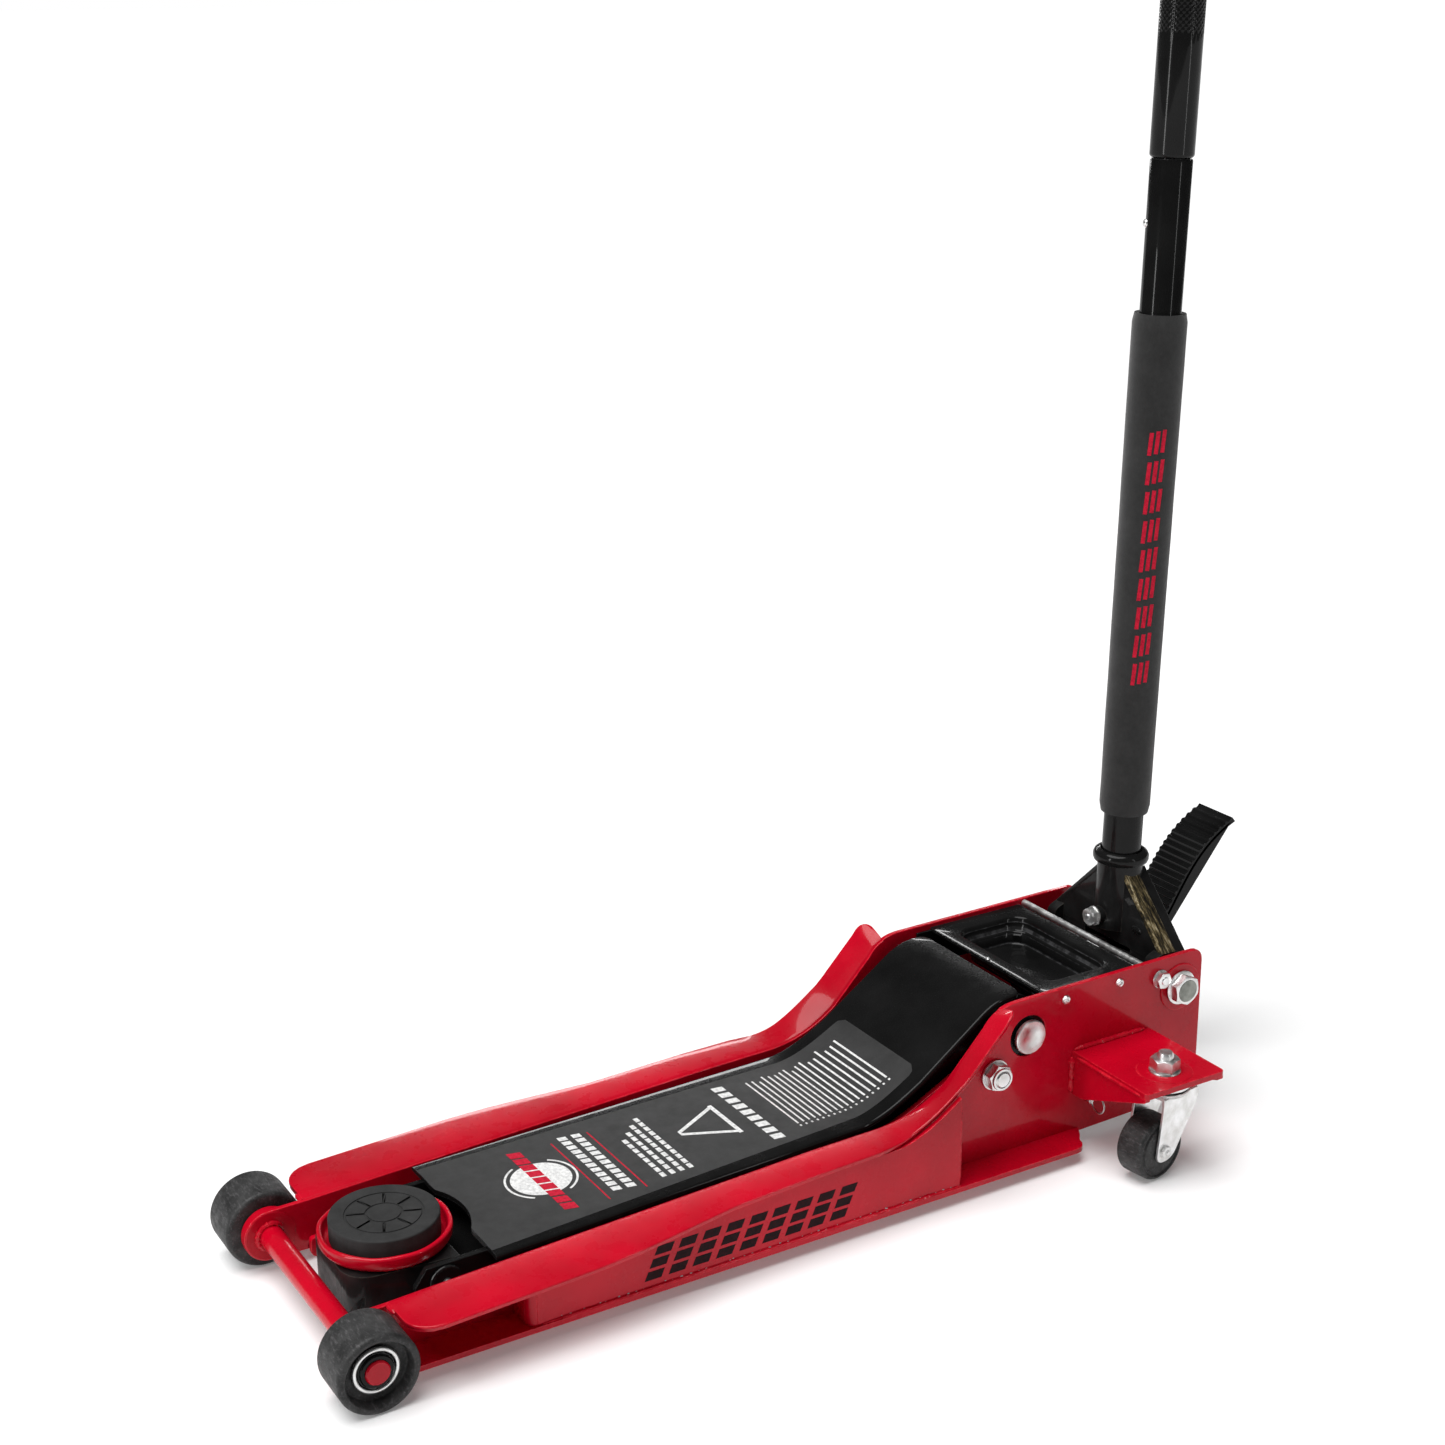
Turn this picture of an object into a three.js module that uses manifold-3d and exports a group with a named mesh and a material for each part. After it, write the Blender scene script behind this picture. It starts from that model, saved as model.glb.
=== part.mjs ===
// Hydraulic floor jack: a long, low trolley jack with a foot pedal and a two-piece handle.
//
// Millimetres, +Z up. The saddle end faces -Y and the handle end faces +Y. While a piece is being
// made, y is measured from the front axle towards the rear, z from the floor, and x from the
// centre plane. The finished group is moved so that its origin is the middle of the footprint.

import * as THREE from 'three';
import { mergeVertices } from 'three/addons/utils/BufferGeometryUtils.js';
import Module from 'manifold-3d';

const wasm = await Module();
wasm.setup();

// ---------------------------------------------------------------- driving dimensions

const GAP = 0.3; // between pieces that touch
const RUNNING = 0.5; // extra radius of a hole round a turning pin
const SIDES = [['right', 1], ['left', -1]];

const FOOTPRINT_MIDDLE_Y = 495.6;

const AXLE = { y: 0, z: 35, radius: 10.5, halfLength: 146 };
const WHEEL = { radius: 35, inner: 102.8, outer: 149.2, recess: 28.5, recessFloor: 137.5, hub: 15.6 };
const WHEEL_RING = { inner: 16.4, outer: 20, from: 137.8, to: 141.8 };

const RAIL = {
  inner: 91,
  outer: 96,
  noseRadius: 23.5,
  noseOuter: 101.6,
  rear: 876,
  bottom: 12,
  flange: 6,
  lipOuter: 128.5,
  lipTop: 17,
};
const SIDE_COVER = { inner: 121.5, outer: 126.5, front: 138, rear: 570, headroom: 3 };
// Where the flanges climb to the rear box they lean up towards their free edges by this slope.
const FLANGE_LEAN = { slope: 0.36, from: 500, to: 575 };

const MAIN_PIVOT = { y: 667, z: 129, radius: 12, headRadius: 16.5 };
const LINK_PIVOT = { y: 628.6, z: 100.4, radius: 8 };
const ARM_TIP = { y: 92, z: 46, radius: 7.5 };
const LINK_TIP = {
  y: ARM_TIP.y + LINK_PIVOT.y - MAIN_PIVOT.y,
  z: ARM_TIP.z + LINK_PIVOT.z - MAIN_PIVOT.z,
  radius: 6,
};

const ARM_PLATE = { inner: 62, outer: 68, tipRadius: 25, rootRadius: 30 };
const ARM_COVER = { thickness: 4, front: 130, rear: 672, frontHalf: 86, rearHalf: 78, cutRadius: 72 };
const LINK_BAR = { inner: 73, outer: 79, halfWidth: 7.5, nose: 29 };
const ARM_BRACE = { front: 118, rear: 200, bottom: 30, top: 36 };

const LEVER = { drop: 52, angle: THREE.MathUtils.degToRad(30), inner: 16, outer: 24, halfWidth: 12.5 };
const RAM = { z: MAIN_PIVOT.z - LEVER.drop, radius: 11, pinRadius: 7, rear: 808 };
RAM.pinY = MAIN_PIVOT.y + LEVER.drop * Math.tan(LEVER.angle);

const SADDLE = { y: 68.5, floor: 57.3, rimTop: 69.1, rimRadius: 55.3, padRadius: 46.7, padTop: 82.3 };
const SADDLE_STEM = { radius: 11, bottom: 38 };
const CRADLE = { frontHalf: 47, rearHalf: 56, wall: 6, deck: 8, top: 57, front: 18, rear: 112 };

const BLOCK = { front: 790, rear: 818, halfWidth: 46, bottom: 42, top: 124 };
const RESERVOIR = { radius: 36, wall: 3, front: 716, cap: 5 };
const CYLINDER = { outer: 20, front: 712 };
const PUMP = { x: -33, z: 111, radius: 7.6, front: 790, rear: 855.5, headRadius: 9 };
const PEDAL_PUMP = { x: -52, z: 58, radius: 5.6, front: 778 };

const HANDLE_PIVOT = { y: 848.5, z: 134, radius: 10 };
const HANDLE_TILT = THREE.MathUtils.degToRad(1.65);
const SOCKET = { outer: 22, inner: 19.4, bottom: 30, top: 101 };
const YOKE = { cheekInner: 68, cheekOuter: 80, bossOuter: 88, webFront: -10, webRear: -3, rimRear: 7 };
const LOCK_BOLT = { height: 44, boss: 8.5, acrossFlats: 16, radius: 4.5 };
const ROLLER = { reach: 26, angle: THREE.MathUtils.degToRad(39.15), radius: 8, pinRadius: 4.5 };
const HANDLE = { radius: 19, bore: 16.6, bottom: 38, joint: 764, upperRadius: 20, top: 992 };
const SLEEVE = { radius: 24.8, bottom: 149, top: 628 };
const BUTTON = { height: 707, radius: 4, turn: THREE.MathUtils.degToRad(-30), inner: 9, outer: 21.5 };
const BALL = { radius: 9.5, cupInner: 10.3, cupOuter: 14 };
const SPINDLE = { angle: THREE.MathUtils.degToRad(38), radius: 5, length: 58 };

const TRAY = { front: 688, rear: 800, halfWidth: 90.6, top: 163, sheet: 2.5, floor: 138 };
const TRAY_HOLE = { front: 706, rear: 783, halfWidth: 68, corner: 16 };

const PEDAL = { y: 846, z: 84, left: -78, right: -28, leverLeft: -57, leverRight: -47, pinRadius: 6 };

const BRACKET = { front: 720, rear: 813, outer: 201, top: 100, sheet: 6, gussetBottom: 56 };
const CASTER = {
  x: 172,
  y: 766,
  trail: 16,
  turn: THREE.MathUtils.degToRad(8),
  wheelRadius: 30,
  wheelWidth: 29,
  axleRadius: 4,
};

const PAINT_RED = { color: 0xc00a1e, roughness: 0.3, metalness: 0.1 };
const PAINT_BLACK = { color: 0x0b0b0c, roughness: 0.3, metalness: 0.1 };
const COVER_BLACK = { color: 0x222223, roughness: 0.5, metalness: 0.1 };
const ZINC = { color: 0xc4c6c6, roughness: 0.35, metalness: 0.9 };
const STEEL = { color: 0x8b8d90, roughness: 0.3, metalness: 0.9 };
const CAST_BLACK = { color: 0x151516, roughness: 0.55, metalness: 0.2 };
const RUBBER = { color: 0x2a2a2b, roughness: 0.8, metalness: 0 };
const WHEEL_BLACK = { color: 0x1c1c1d, roughness: 0.6, metalness: 0 };
const FOAM = { color: 0x303031, roughness: 0.9, metalness: 0 };

// ---------------------------------------------------------------- solids

function signedVolume(positions, triangles) {
  const a = new THREE.Vector3();
  const b = new THREE.Vector3();
  const c = new THREE.Vector3();
  let volume = 0;
  for (let i = 0; i < triangles.length; i += 3) {
    a.fromArray(positions, 3 * triangles[i]);
    b.fromArray(positions, 3 * triangles[i + 1]);
    c.fromArray(positions, 3 * triangles[i + 2]);
    volume += a.dot(b.cross(c)) / 6;
  }
  return volume;
}

// A closed geometry as a solid, with its shared corners merged and its faces pointing out.
function solidOf(geometry) {
  const bare = geometry.clone();
  bare.deleteAttribute('normal');
  bare.deleteAttribute('uv');
  const merged = mergeVertices(bare, 1e-4);
  const positions = new Float32Array(merged.attributes.position.array);
  const triangles = [];
  const corners = merged.index.array;
  for (let i = 0; i < corners.length; i += 3) {
    const [a, b, c] = [corners[i], corners[i + 1], corners[i + 2]];
    if (a !== b && b !== c && c !== a) triangles.push(a, b, c);
  }
  if (signedVolume(positions, triangles) < 0) triangles.reverse();
  const mesh = new wasm.Mesh({
    numProp: 3,
    vertProperties: positions,
    triVerts: new Uint32Array(triangles),
  });
  return new wasm.Manifold(mesh);
}

function geometryOf(solid) {
  const mesh = solid.getMesh();
  const geometry = new THREE.BufferGeometry();
  geometry.setAttribute('position', new THREE.BufferAttribute(new Float32Array(mesh.vertProperties), 3));
  geometry.setIndex(new THREE.BufferAttribute(new Uint32Array(mesh.triVerts), 1));
  geometry.computeVertexNormals();
  return geometry;
}

const join = (first, ...others) => others.reduce((sum, next) => sum.add(next), first);
const cut = (first, ...others) => others.reduce((rest, next) => rest.subtract(next), first);

// ---------------------------------------------------------------- shapes

// An outline through corners [a, b, radius], with each corner that has a radius rounded off.
function rounded(corners) {
  const shape = new THREE.Shape();
  corners.forEach(([a, b, radius = 0], i) => {
    const here = new THREE.Vector2(a, b);
    const before = new THREE.Vector2(...corners.at(i - 1).slice(0, 2));
    const after = new THREE.Vector2(...corners[(i + 1) % corners.length].slice(0, 2));
    const enter = here.clone().add(before.sub(here).setLength(radius));
    const leave = here.clone().add(after.sub(here).setLength(radius));
    if (i === 0) shape.moveTo(enter.x, enter.y);
    else shape.lineTo(enter.x, enter.y);
    if (radius > 0) shape.quadraticCurveTo(here.x, here.y, leave.x, leave.y);
  });
  shape.closePath();
  return shape;
}

function extruded(shape, depth, curveSegments = 3) {
  return new THREE.ExtrudeGeometry(shape, { depth, bevelEnabled: false, steps: 1, curveSegments });
}

// A plate whose outline is drawn in (y, z), between two x values in either order.
function plateYZ(shape, xA, xB, curveSegments) {
  const geometry = extruded(shape, Math.abs(xB - xA), curveSegments);
  const cycle = new THREE.Matrix4().makeBasis(
    new THREE.Vector3(0, 1, 0),
    new THREE.Vector3(0, 0, 1),
    new THREE.Vector3(1, 0, 0),
  );
  geometry.applyMatrix4(cycle);
  geometry.translate(Math.min(xA, xB), 0, 0);
  return solidOf(geometry);
}

// A plate whose outline is drawn in (x, y), between two z values.
function plateXY(shape, bottom, top, curveSegments) {
  const geometry = extruded(shape, top - bottom, curveSegments);
  geometry.translate(0, 0, bottom);
  return solidOf(geometry);
}

// A plate whose outline is drawn in (x, z), between two y values.
function plateXZ(shape, front, rear, curveSegments) {
  const geometry = extruded(shape, rear - front, curveSegments);
  geometry.rotateX(Math.PI / 2);
  geometry.translate(0, rear, 0);
  return solidOf(geometry);
}

function block(xA, xB, front, rear, bottom, top) {
  const geometry = new THREE.BoxGeometry(Math.abs(xB - xA), rear - front, top - bottom);
  geometry.translate((xA + xB) / 2, (front + rear) / 2, (bottom + top) / 2);
  return solidOf(geometry);
}

// A turned piece: profile points are [radius, distance along the axis], and centre is a point
// [x, y, z] on the axis, whose own coordinate along the axis is 0.
function turned(axis, profile, centre, segments = 12) {
  const points = profile.map(([radius, along]) => new THREE.Vector2(radius, along));
  const geometry = new THREE.LatheGeometry(points, segments);
  if (axis === 'x') geometry.rotateZ(-Math.PI / 2);
  if (axis === 'z') geometry.rotateX(Math.PI / 2);
  geometry.translate(...centre);
  return solidOf(geometry);
}

function rod(axis, radius, from, to, centre, segments) {
  const low = Math.min(from, to);
  const high = Math.max(from, to);
  return turned(axis, [[0, low], [radius, low], [radius, high], [0, high]], centre, segments);
}

function tube(axis, outer, inner, from, to, centre, segments) {
  const profile = [[inner, from], [outer, from], [outer, to], [inner, to], [inner, from]];
  return turned(axis, profile, centre, segments);
}

function hexagon(axis, acrossFlats, from, to, centre) {
  return rod(axis, acrossFlats / Math.sqrt(3), from, to, centre, 6);
}

const onAxle = (part) => [0, part.y, part.z];

// The points of a path moved sideways: a positive distance moves them to its right-hand side,
// which is downwards on a path that runs towards +y.
function shifted(points, distance) {
  return points.map((point, i) => {
    const before = points[Math.max(i - 1, 0)];
    const after = points[Math.min(i + 1, points.length - 1)];
    const along = after.clone().sub(before).normalize();
    return new THREE.Vector2(point.x + along.y * distance, point.y - along.x * distance);
  });
}

// A strip of even thickness under a path, as an outline.
function stripUnder(points, thickness) {
  return new THREE.Shape([...points, ...shifted(points, thickness).reverse()]);
}

// ---------------------------------------------------------------- frame

// The top edge of a side rail: nearly level over the arm, then a rise to the rear box.
function railTopEdge() {
  const edge = new THREE.Path();
  edge.moveTo(28, 60);
  edge.lineTo(430, 78);
  edge.lineTo(500, 79.5);
  edge.bezierCurveTo(530, 80.5, 553, 88, 578, 107);
  edge.lineTo(618, 149);
  edge.quadraticCurveTo(630, 167, 656, 166.5);
  return edge;
}

function flangeLean(y) {
  return FLANGE_LEAN.slope * THREE.MathUtils.smoothstep(y, FLANGE_LEAN.from, FLANGE_LEAN.to);
}

// A flange strip with its free edge raised by the lean.
function leaned(solid) {
  const geometry = geometryOf(solid);
  const corners = geometry.attributes.position;
  for (let i = 0; i < corners.count; i += 1) {
    const reach = Math.abs(corners.getX(i)) - RAIL.inner;
    corners.setZ(i, corners.getZ(i) + reach * flangeLean(corners.getY(i)));
  }
  return solidOf(geometry);
}

function makeSideRail(side) {
  const topPoints = railTopEdge().getPoints(3);
  const webOutline = new THREE.Shape();
  webOutline.moveTo(AXLE.y, AXLE.z - RAIL.noseRadius);
  webOutline.absarc(AXLE.y, AXLE.z, RAIL.noseRadius, -Math.PI / 2, Math.PI / 2, true);
  topPoints.forEach((point) => webOutline.lineTo(point.x, point.y));
  webOutline.lineTo(862, 168.5);
  webOutline.quadraticCurveTo(RAIL.rear, 168.5, RAIL.rear, 154);
  webOutline.lineTo(RAIL.rear, 34);
  webOutline.lineTo(856, RAIL.bottom);
  webOutline.closePath();
  const web = plateYZ(webOutline, side * RAIL.inner, side * RAIL.outer, 6);

  const nose = rod('x', RAIL.noseRadius, side * RAIL.inner, side * RAIL.noseOuter, onAxle(AXLE), 20);

  const flangeStrip = leaned(plateYZ(stripUnder(topPoints, RAIL.flange), side * RAIL.inner, side * 150));
  const flangePlan = rounded([
    [side * RAIL.inner, 31],
    [side * 148, 31, 30],
    [side * 148, 215, 40],
    [side * 132, 330, 60],
    [side * 129, 480, 25],
    [side * 123, 525, 25],
    [side * 122, 631, 14],
    [side * RAIL.inner, 638],
  ]);
  const flange = flangeStrip.intersect(plateXY(flangePlan, 0, 200));

  const lipPlan = rounded([
    [side * RAIL.inner, 32.5],
    [side * RAIL.lipOuter, 32.5, 10],
    [side * RAIL.lipOuter, 712, 12],
    [side * 112, 722, 6],
    [side * RAIL.inner, 733],
  ]);
  const lip = plateXY(lipPlan, RAIL.bottom, RAIL.lipTop);

  const holes = [
    [AXLE, AXLE.radius],
    [MAIN_PIVOT, MAIN_PIVOT.radius],
    [LINK_PIVOT, LINK_PIVOT.radius],
    [HANDLE_PIVOT, HANDLE_PIVOT.radius],
  ];
  if (side < 0) holes.push([PEDAL, PEDAL.pinRadius]);
  const drills = holes.map(([part, radius]) => (
    rod('x', radius + RUNNING, side * 85, side * 105, onAxle(part))
  ));
  return cut(join(web, nose, flange, lip), ...drills);
}

// The plate that closes the middle of a rail's channel into a box.
function makeSideCover(side) {
  const reach = SIDE_COVER.inner - RAIL.inner;
  const underFlange = shifted(railTopEdge().getPoints(3), RAIL.flange + SIDE_COVER.headroom);
  underFlange.forEach((point) => {
    point.y += reach * flangeLean(point.x);
  });
  const band = new THREE.Shape([
    new THREE.Vector2(0, RAIL.lipTop + GAP),
    ...underFlange.filter((point) => point.x < 630),
    new THREE.Vector2(630, RAIL.lipTop + GAP),
  ]);
  const plate = plateYZ(band, side * SIDE_COVER.inner, side * SIDE_COVER.outer);
  return plate.intersect(block(side * 110, side * 140, SIDE_COVER.front, SIDE_COVER.rear, 0, 200));
}

function makeToolTray() {
  const { front, rear, halfWidth, top, sheet, floor } = TRAY;
  const openingOutline = (grow) => rounded([
    [-TRAY_HOLE.halfWidth - grow, TRAY_HOLE.front - grow, TRAY_HOLE.corner],
    [TRAY_HOLE.halfWidth + grow, TRAY_HOLE.front - grow, TRAY_HOLE.corner],
    [TRAY_HOLE.halfWidth + grow, TRAY_HOLE.rear + grow, TRAY_HOLE.corner],
    [-TRAY_HOLE.halfWidth - grow, TRAY_HOLE.rear + grow, TRAY_HOLE.corner],
  ]);
  const rim = block(-halfWidth, halfWidth, front, rear, top - sheet, top);
  const flanges = SIDES.map(([, side]) => (
    block(side * halfWidth, side * (halfWidth - sheet), front + 4, rear - 4, 145, top)
  ));
  const bowl = plateXY(openingOutline(sheet), floor - sheet, top - 1);
  return cut(join(rim, ...flanges, bowl), plateXY(openingOutline(0), floor, top + 1));
}

function makeCasterBracket(side) {
  const x = (value) => side * value;
  const inner = RAIL.outer + GAP;
  const plan = rounded([
    [x(inner), BRACKET.front],
    [x(BRACKET.outer), BRACKET.front, 4],
    [x(BRACKET.outer), BRACKET.rear, 4],
    [x(inner), BRACKET.rear],
  ]);
  const plate = plateXY(plan, BRACKET.top - BRACKET.sheet, BRACKET.top);
  const gussetOutline = new THREE.Shape([
    new THREE.Vector2(x(inner), BRACKET.gussetBottom),
    new THREE.Vector2(x(inner), BRACKET.top - 1),
    new THREE.Vector2(x(BRACKET.outer - 2), BRACKET.top - 1),
    new THREE.Vector2(x(BRACKET.outer - 2), BRACKET.top - BRACKET.sheet - 3),
    new THREE.Vector2(x(inner + 14), BRACKET.gussetBottom),
  ]);
  const gussets = [BRACKET.front, BRACKET.rear - BRACKET.sheet].map((front) => (
    plateXZ(gussetOutline, front, front + BRACKET.sheet)
  ));
  const stemHole = rod('z', 8 + RUNNING, 80, 110, [x(CASTER.x), CASTER.y, 0]);
  return cut(join(plate, ...gussets), stemHole);
}

// Nut, stem and bearing race of a caster: everything that stays still when it swivels.
function makeCasterStem(side) {
  const centre = [side * CASTER.x, CASTER.y, 0];
  const profile = [
    [0, 75], [12, 75], [12, 79.5], [7.7, 79.5], [7.7, 86.3], [22, 86.3], [24, 90], [22, 93.7],
    [8, 93.7], [8, 116], [5.5, 119], [0, 119],
  ];
  return join(turned('z', profile, centre, 16), hexagon('z', 24, BRACKET.top + GAP, 112, centre));
}

// ---------------------------------------------------------------- wheels

function makeFrontWheel(side) {
  const bore = AXLE.radius + RUNNING;
  const profile = [
    [bore, WHEEL.inner], [32, WHEEL.inner], [WHEEL.radius, WHEEL.inner + 3],
    [WHEEL.radius, WHEEL.outer - 3], [32, WHEEL.outer],
    [WHEEL.recess, WHEEL.outer], [WHEEL.recess - 1, WHEEL.recessFloor], [WHEEL.hub, WHEEL.recessFloor],
    [WHEEL.hub, 141], [bore, 141], [bore, WHEEL.inner],
  ];
  const along = profile.map(([radius, x]) => [radius, side * x]);
  return turned('x', along, onAxle(AXLE), 24);
}

function makeWheelRing(side) {
  const { inner, outer, from, to } = WHEEL_RING;
  return tube('x', outer, inner, side * from, side * to, onAxle(AXLE), 24);
}

// Caster wheels, forks and axles are drawn with the swivel axis at x = 0, y = 0.
function makeCasterWheel() {
  const { wheelRadius, wheelWidth, axleRadius, trail } = CASTER;
  const half = wheelWidth / 2;
  const bore = axleRadius + RUNNING;
  const profile = [
    [bore, -half], [27, -half], [wheelRadius, -half + 3], [wheelRadius, half - 3], [27, half],
    [bore, half], [bore, -half],
  ];
  return turned('x', profile, [0, -trail, wheelRadius], 24);
}

function makeCasterFork() {
  const { trail, wheelWidth, wheelRadius, axleRadius } = CASTER;
  const legInner = wheelWidth / 2 + 1.2;
  const legOuter = legInner + 3;
  const legOutline = rounded([
    [-trail - 10, wheelRadius - 10, 9],
    [-trail + 10, wheelRadius - 10, 9],
    [20, 80, 4],
    [20, 86, 2],
    [-21, 86, 2],
    [-21, 76, 4],
  ]);
  const legs = [1, -1].map((way) => plateYZ(legOutline, way * legInner, way * legOuter));
  const crown = block(-legOuter, legOuter, -20, 19, 80, 86);
  const stemHole = rod('z', 7.7 + RUNNING, 70, 95, [0, 0, 0]);
  const axleHole = rod('x', axleRadius + RUNNING, -30, 30, [0, -trail, wheelRadius]);
  return cut(join(...legs, crown), stemHole, axleHole);
}

function makeCasterAxle() {
  return rod('x', CASTER.axleRadius, -20, 20, [0, -CASTER.trail, CASTER.wheelRadius]);
}

// ---------------------------------------------------------------- lifting arm

function armTopEdge() {
  const edge = new THREE.Path();
  edge.moveTo(ARM_COVER.front, 66);
  edge.lineTo(495, 78);
  edge.bezierCurveTo(515, 79.5, 535, 90, 558, 103.3);
  edge.lineTo(628, 153);
  edge.quadraticCurveTo(643, 163.7, 660, 164);
  edge.lineTo(ARM_COVER.rear, 164);
  return edge;
}

function makeArmCover() {
  const strip = stripUnder(armTopEdge().getPoints(5), ARM_COVER.thickness);
  const { front, rear, frontHalf, rearHalf, cutRadius } = ARM_COVER;
  const cutHalf = Math.sqrt(cutRadius ** 2 - (front - SADDLE.y) ** 2);
  const cutAngle = Math.atan2(front - SADDLE.y, cutHalf);
  const plan = new THREE.Shape();
  plan.moveTo(-frontHalf, front);
  plan.lineTo(-cutHalf, front);
  plan.absarc(0, SADDLE.y, cutRadius, Math.PI - cutAngle, cutAngle, true);
  plan.lineTo(frontHalf, front);
  plan.lineTo(rearHalf, rear - 8);
  plan.quadraticCurveTo(rearHalf, rear, rearHalf - 8, rear);
  plan.lineTo(8 - rearHalf, rear);
  plan.quadraticCurveTo(-rearHalf, rear, -rearHalf, rear - 8);
  plan.closePath();
  return plateYZ(strip, -100, 100).intersect(plateXY(plan, 0, 200, 5));
}

function makeArmPlate(side) {
  const under = shifted(armTopEdge().getPoints(5), ARM_COVER.thickness + GAP);
  const { y: pivotY, z: pivotZ } = MAIN_PIVOT;
  const outline = new THREE.Shape();
  outline.moveTo(ARM_TIP.y, ARM_TIP.z - ARM_PLATE.tipRadius);
  outline.quadraticCurveTo(66, 22, 65, 46);
  outline.lineTo(76, 61.6);
  under.filter((point) => point.x > 128 && point.x < 664).forEach((point) => {
    outline.lineTo(point.x, point.y);
  });
  outline.absarc(pivotY, pivotZ, ARM_PLATE.rootRadius, 1.5, -1.9, true);
  outline.lineTo(600, 88);
  outline.quadraticCurveTo(530, 42, 430, 34);
  outline.closePath();
  const plate = plateYZ(outline, side * ARM_PLATE.inner, side * ARM_PLATE.outer, 5);
  const pivotHole = rod('x', MAIN_PIVOT.radius + RUNNING, side * 50, side * 80, onAxle(MAIN_PIVOT));
  const tipHole = rod('x', ARM_TIP.radius + RUNNING, side * 50, side * 80, onAxle(ARM_TIP));
  return cut(plate, pivotHole, tipHole);
}

// The hub on the main pivot, with two slotted ears that the ram's cross pin pushes.
function makeArmLever() {
  const half = ARM_PLATE.inner - GAP;
  const hub = rod('x', 20, -half, half, onAxle(MAIN_PIVOT));
  const reach = LEVER.drop / Math.cos(LEVER.angle);
  const earOutline = rounded([
    [-18, 4],
    [-LEVER.halfWidth, -reach - 14, 12],
    [LEVER.halfWidth, -reach - 14, 12],
    [18, 4],
  ]);
  const slotHalf = RAM.pinRadius + 1.2;
  const slotOutline = rounded([
    [-slotHalf, -LEVER.drop + 8.5, 5],
    [slotHalf, -LEVER.drop + 8.5, 5],
    [slotHalf, -reach - 8.5, 5],
    [-slotHalf, -reach - 8.5, 5],
  ]);
  const turn = new THREE.Matrix4().makeRotationX(LEVER.angle);
  const place = new THREE.Matrix4().makeTranslation(0, MAIN_PIVOT.y, MAIN_PIVOT.z).multiply(turn);
  const placed = (solid) => solidOf(geometryOf(solid).applyMatrix4(place));
  const ears = SIDES.map(([, side]) => (
    placed(plateYZ(earOutline, side * LEVER.inner, side * LEVER.outer))
  ));
  const slot = placed(plateYZ(slotOutline, -40, 40));
  const bore = rod('x', MAIN_PIVOT.radius + RUNNING, -80, 80, onAxle(MAIN_PIVOT));
  return cut(join(hub, ...ears), slot, bore);
}

function makeLinkBar(side) {
  const w = LINK_BAR.halfWidth;
  const { nose } = LINK_BAR;
  const outline = rounded([
    [nose, LINK_TIP.z - 3, 5],
    [LINK_TIP.y - w, LINK_TIP.z - w, w],
    [LINK_TIP.y + 20, LINK_TIP.z - w, 10],
    [500, 38, 60],
    [LINK_PIVOT.y - 14, LINK_PIVOT.z - 18, 10],
    [LINK_PIVOT.y + 13, LINK_PIVOT.z - 12, 10],
    [LINK_PIVOT.y + 13, LINK_PIVOT.z + 13, 10],
    [LINK_PIVOT.y - 16, LINK_PIVOT.z + 8, 10],
    [505, 56, 60],
    [LINK_TIP.y + 20, LINK_TIP.z + w + 2, 10],
    [LINK_TIP.y - w, LINK_TIP.z + w + 6, w],
    [nose, LINK_TIP.z + 15, 5],
  ]);
  const bar = plateYZ(outline, side * LINK_BAR.inner, side * LINK_BAR.outer, 4);
  const frameHole = rod('x', LINK_PIVOT.radius + RUNNING, side * 60, side * 90, onAxle(LINK_PIVOT));
  const tipHole = rod('x', LINK_TIP.radius + RUNNING, side * 60, side * 90, onAxle(LINK_TIP));
  return cut(bar, frameHole, tipHole);
}

// ---------------------------------------------------------------- saddle

// The cradle is a box open at the bottom and rear, narrower and rounded off at the front.
function makeCradle() {
  const { frontHalf, rearHalf, wall, deck, top, front, rear } = CRADLE;
  const sideOutline = rounded([
    [front, top, 2],
    [front, 16, 6],
    [44, 8.5, 8],
    [64, 8.5, 8],
    [108, 32, 10],
    [rear, top, 2],
  ]);
  const plan = rounded([
    [-frontHalf, front, 8],
    [frontHalf, front, 8],
    [rearHalf, rear, 3],
    [-rearHalf, rear, 3],
  ]);
  const frontOutline = rounded([
    [-80, top + 1],
    [-80, 32],
    [-frontHalf, 32, 12],
    [-30, 8, 12],
    [30, 8, 12],
    [frontHalf, 32, 12],
    [80, 32],
    [80, top + 1],
  ]);
  const hollowPlan = rounded([
    [wall - frontHalf, front + wall],
    [frontHalf - wall, front + wall],
    [rearHalf - wall, rear + 1],
    [wall - rearHalf, rear + 1],
  ]);
  const shell = plateYZ(sideOutline, -80, 80).intersect(plateXY(plan, 0, 80));
  const behindFront = block(-80, 80, front + wall, rear + 1, 0, 80);
  const trimmed = join(plateXZ(frontOutline, front - 1, front + wall), behindFront);
  const hollow = plateXY(hollowPlan, -1, top - deck);
  const stemHole = rod('z', SADDLE_STEM.radius + RUNNING, 30, 70, [0, SADDLE.y, 0]);
  const armHole = rod('x', ARM_TIP.radius + RUNNING, -70, 70, onAxle(ARM_TIP));
  const linkHole = rod('x', LINK_TIP.radius + RUNNING, -70, 70, onAxle(LINK_TIP));
  return cut(shell.intersect(trimmed), hollow, stemHole, armHole, linkHole);
}

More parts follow.
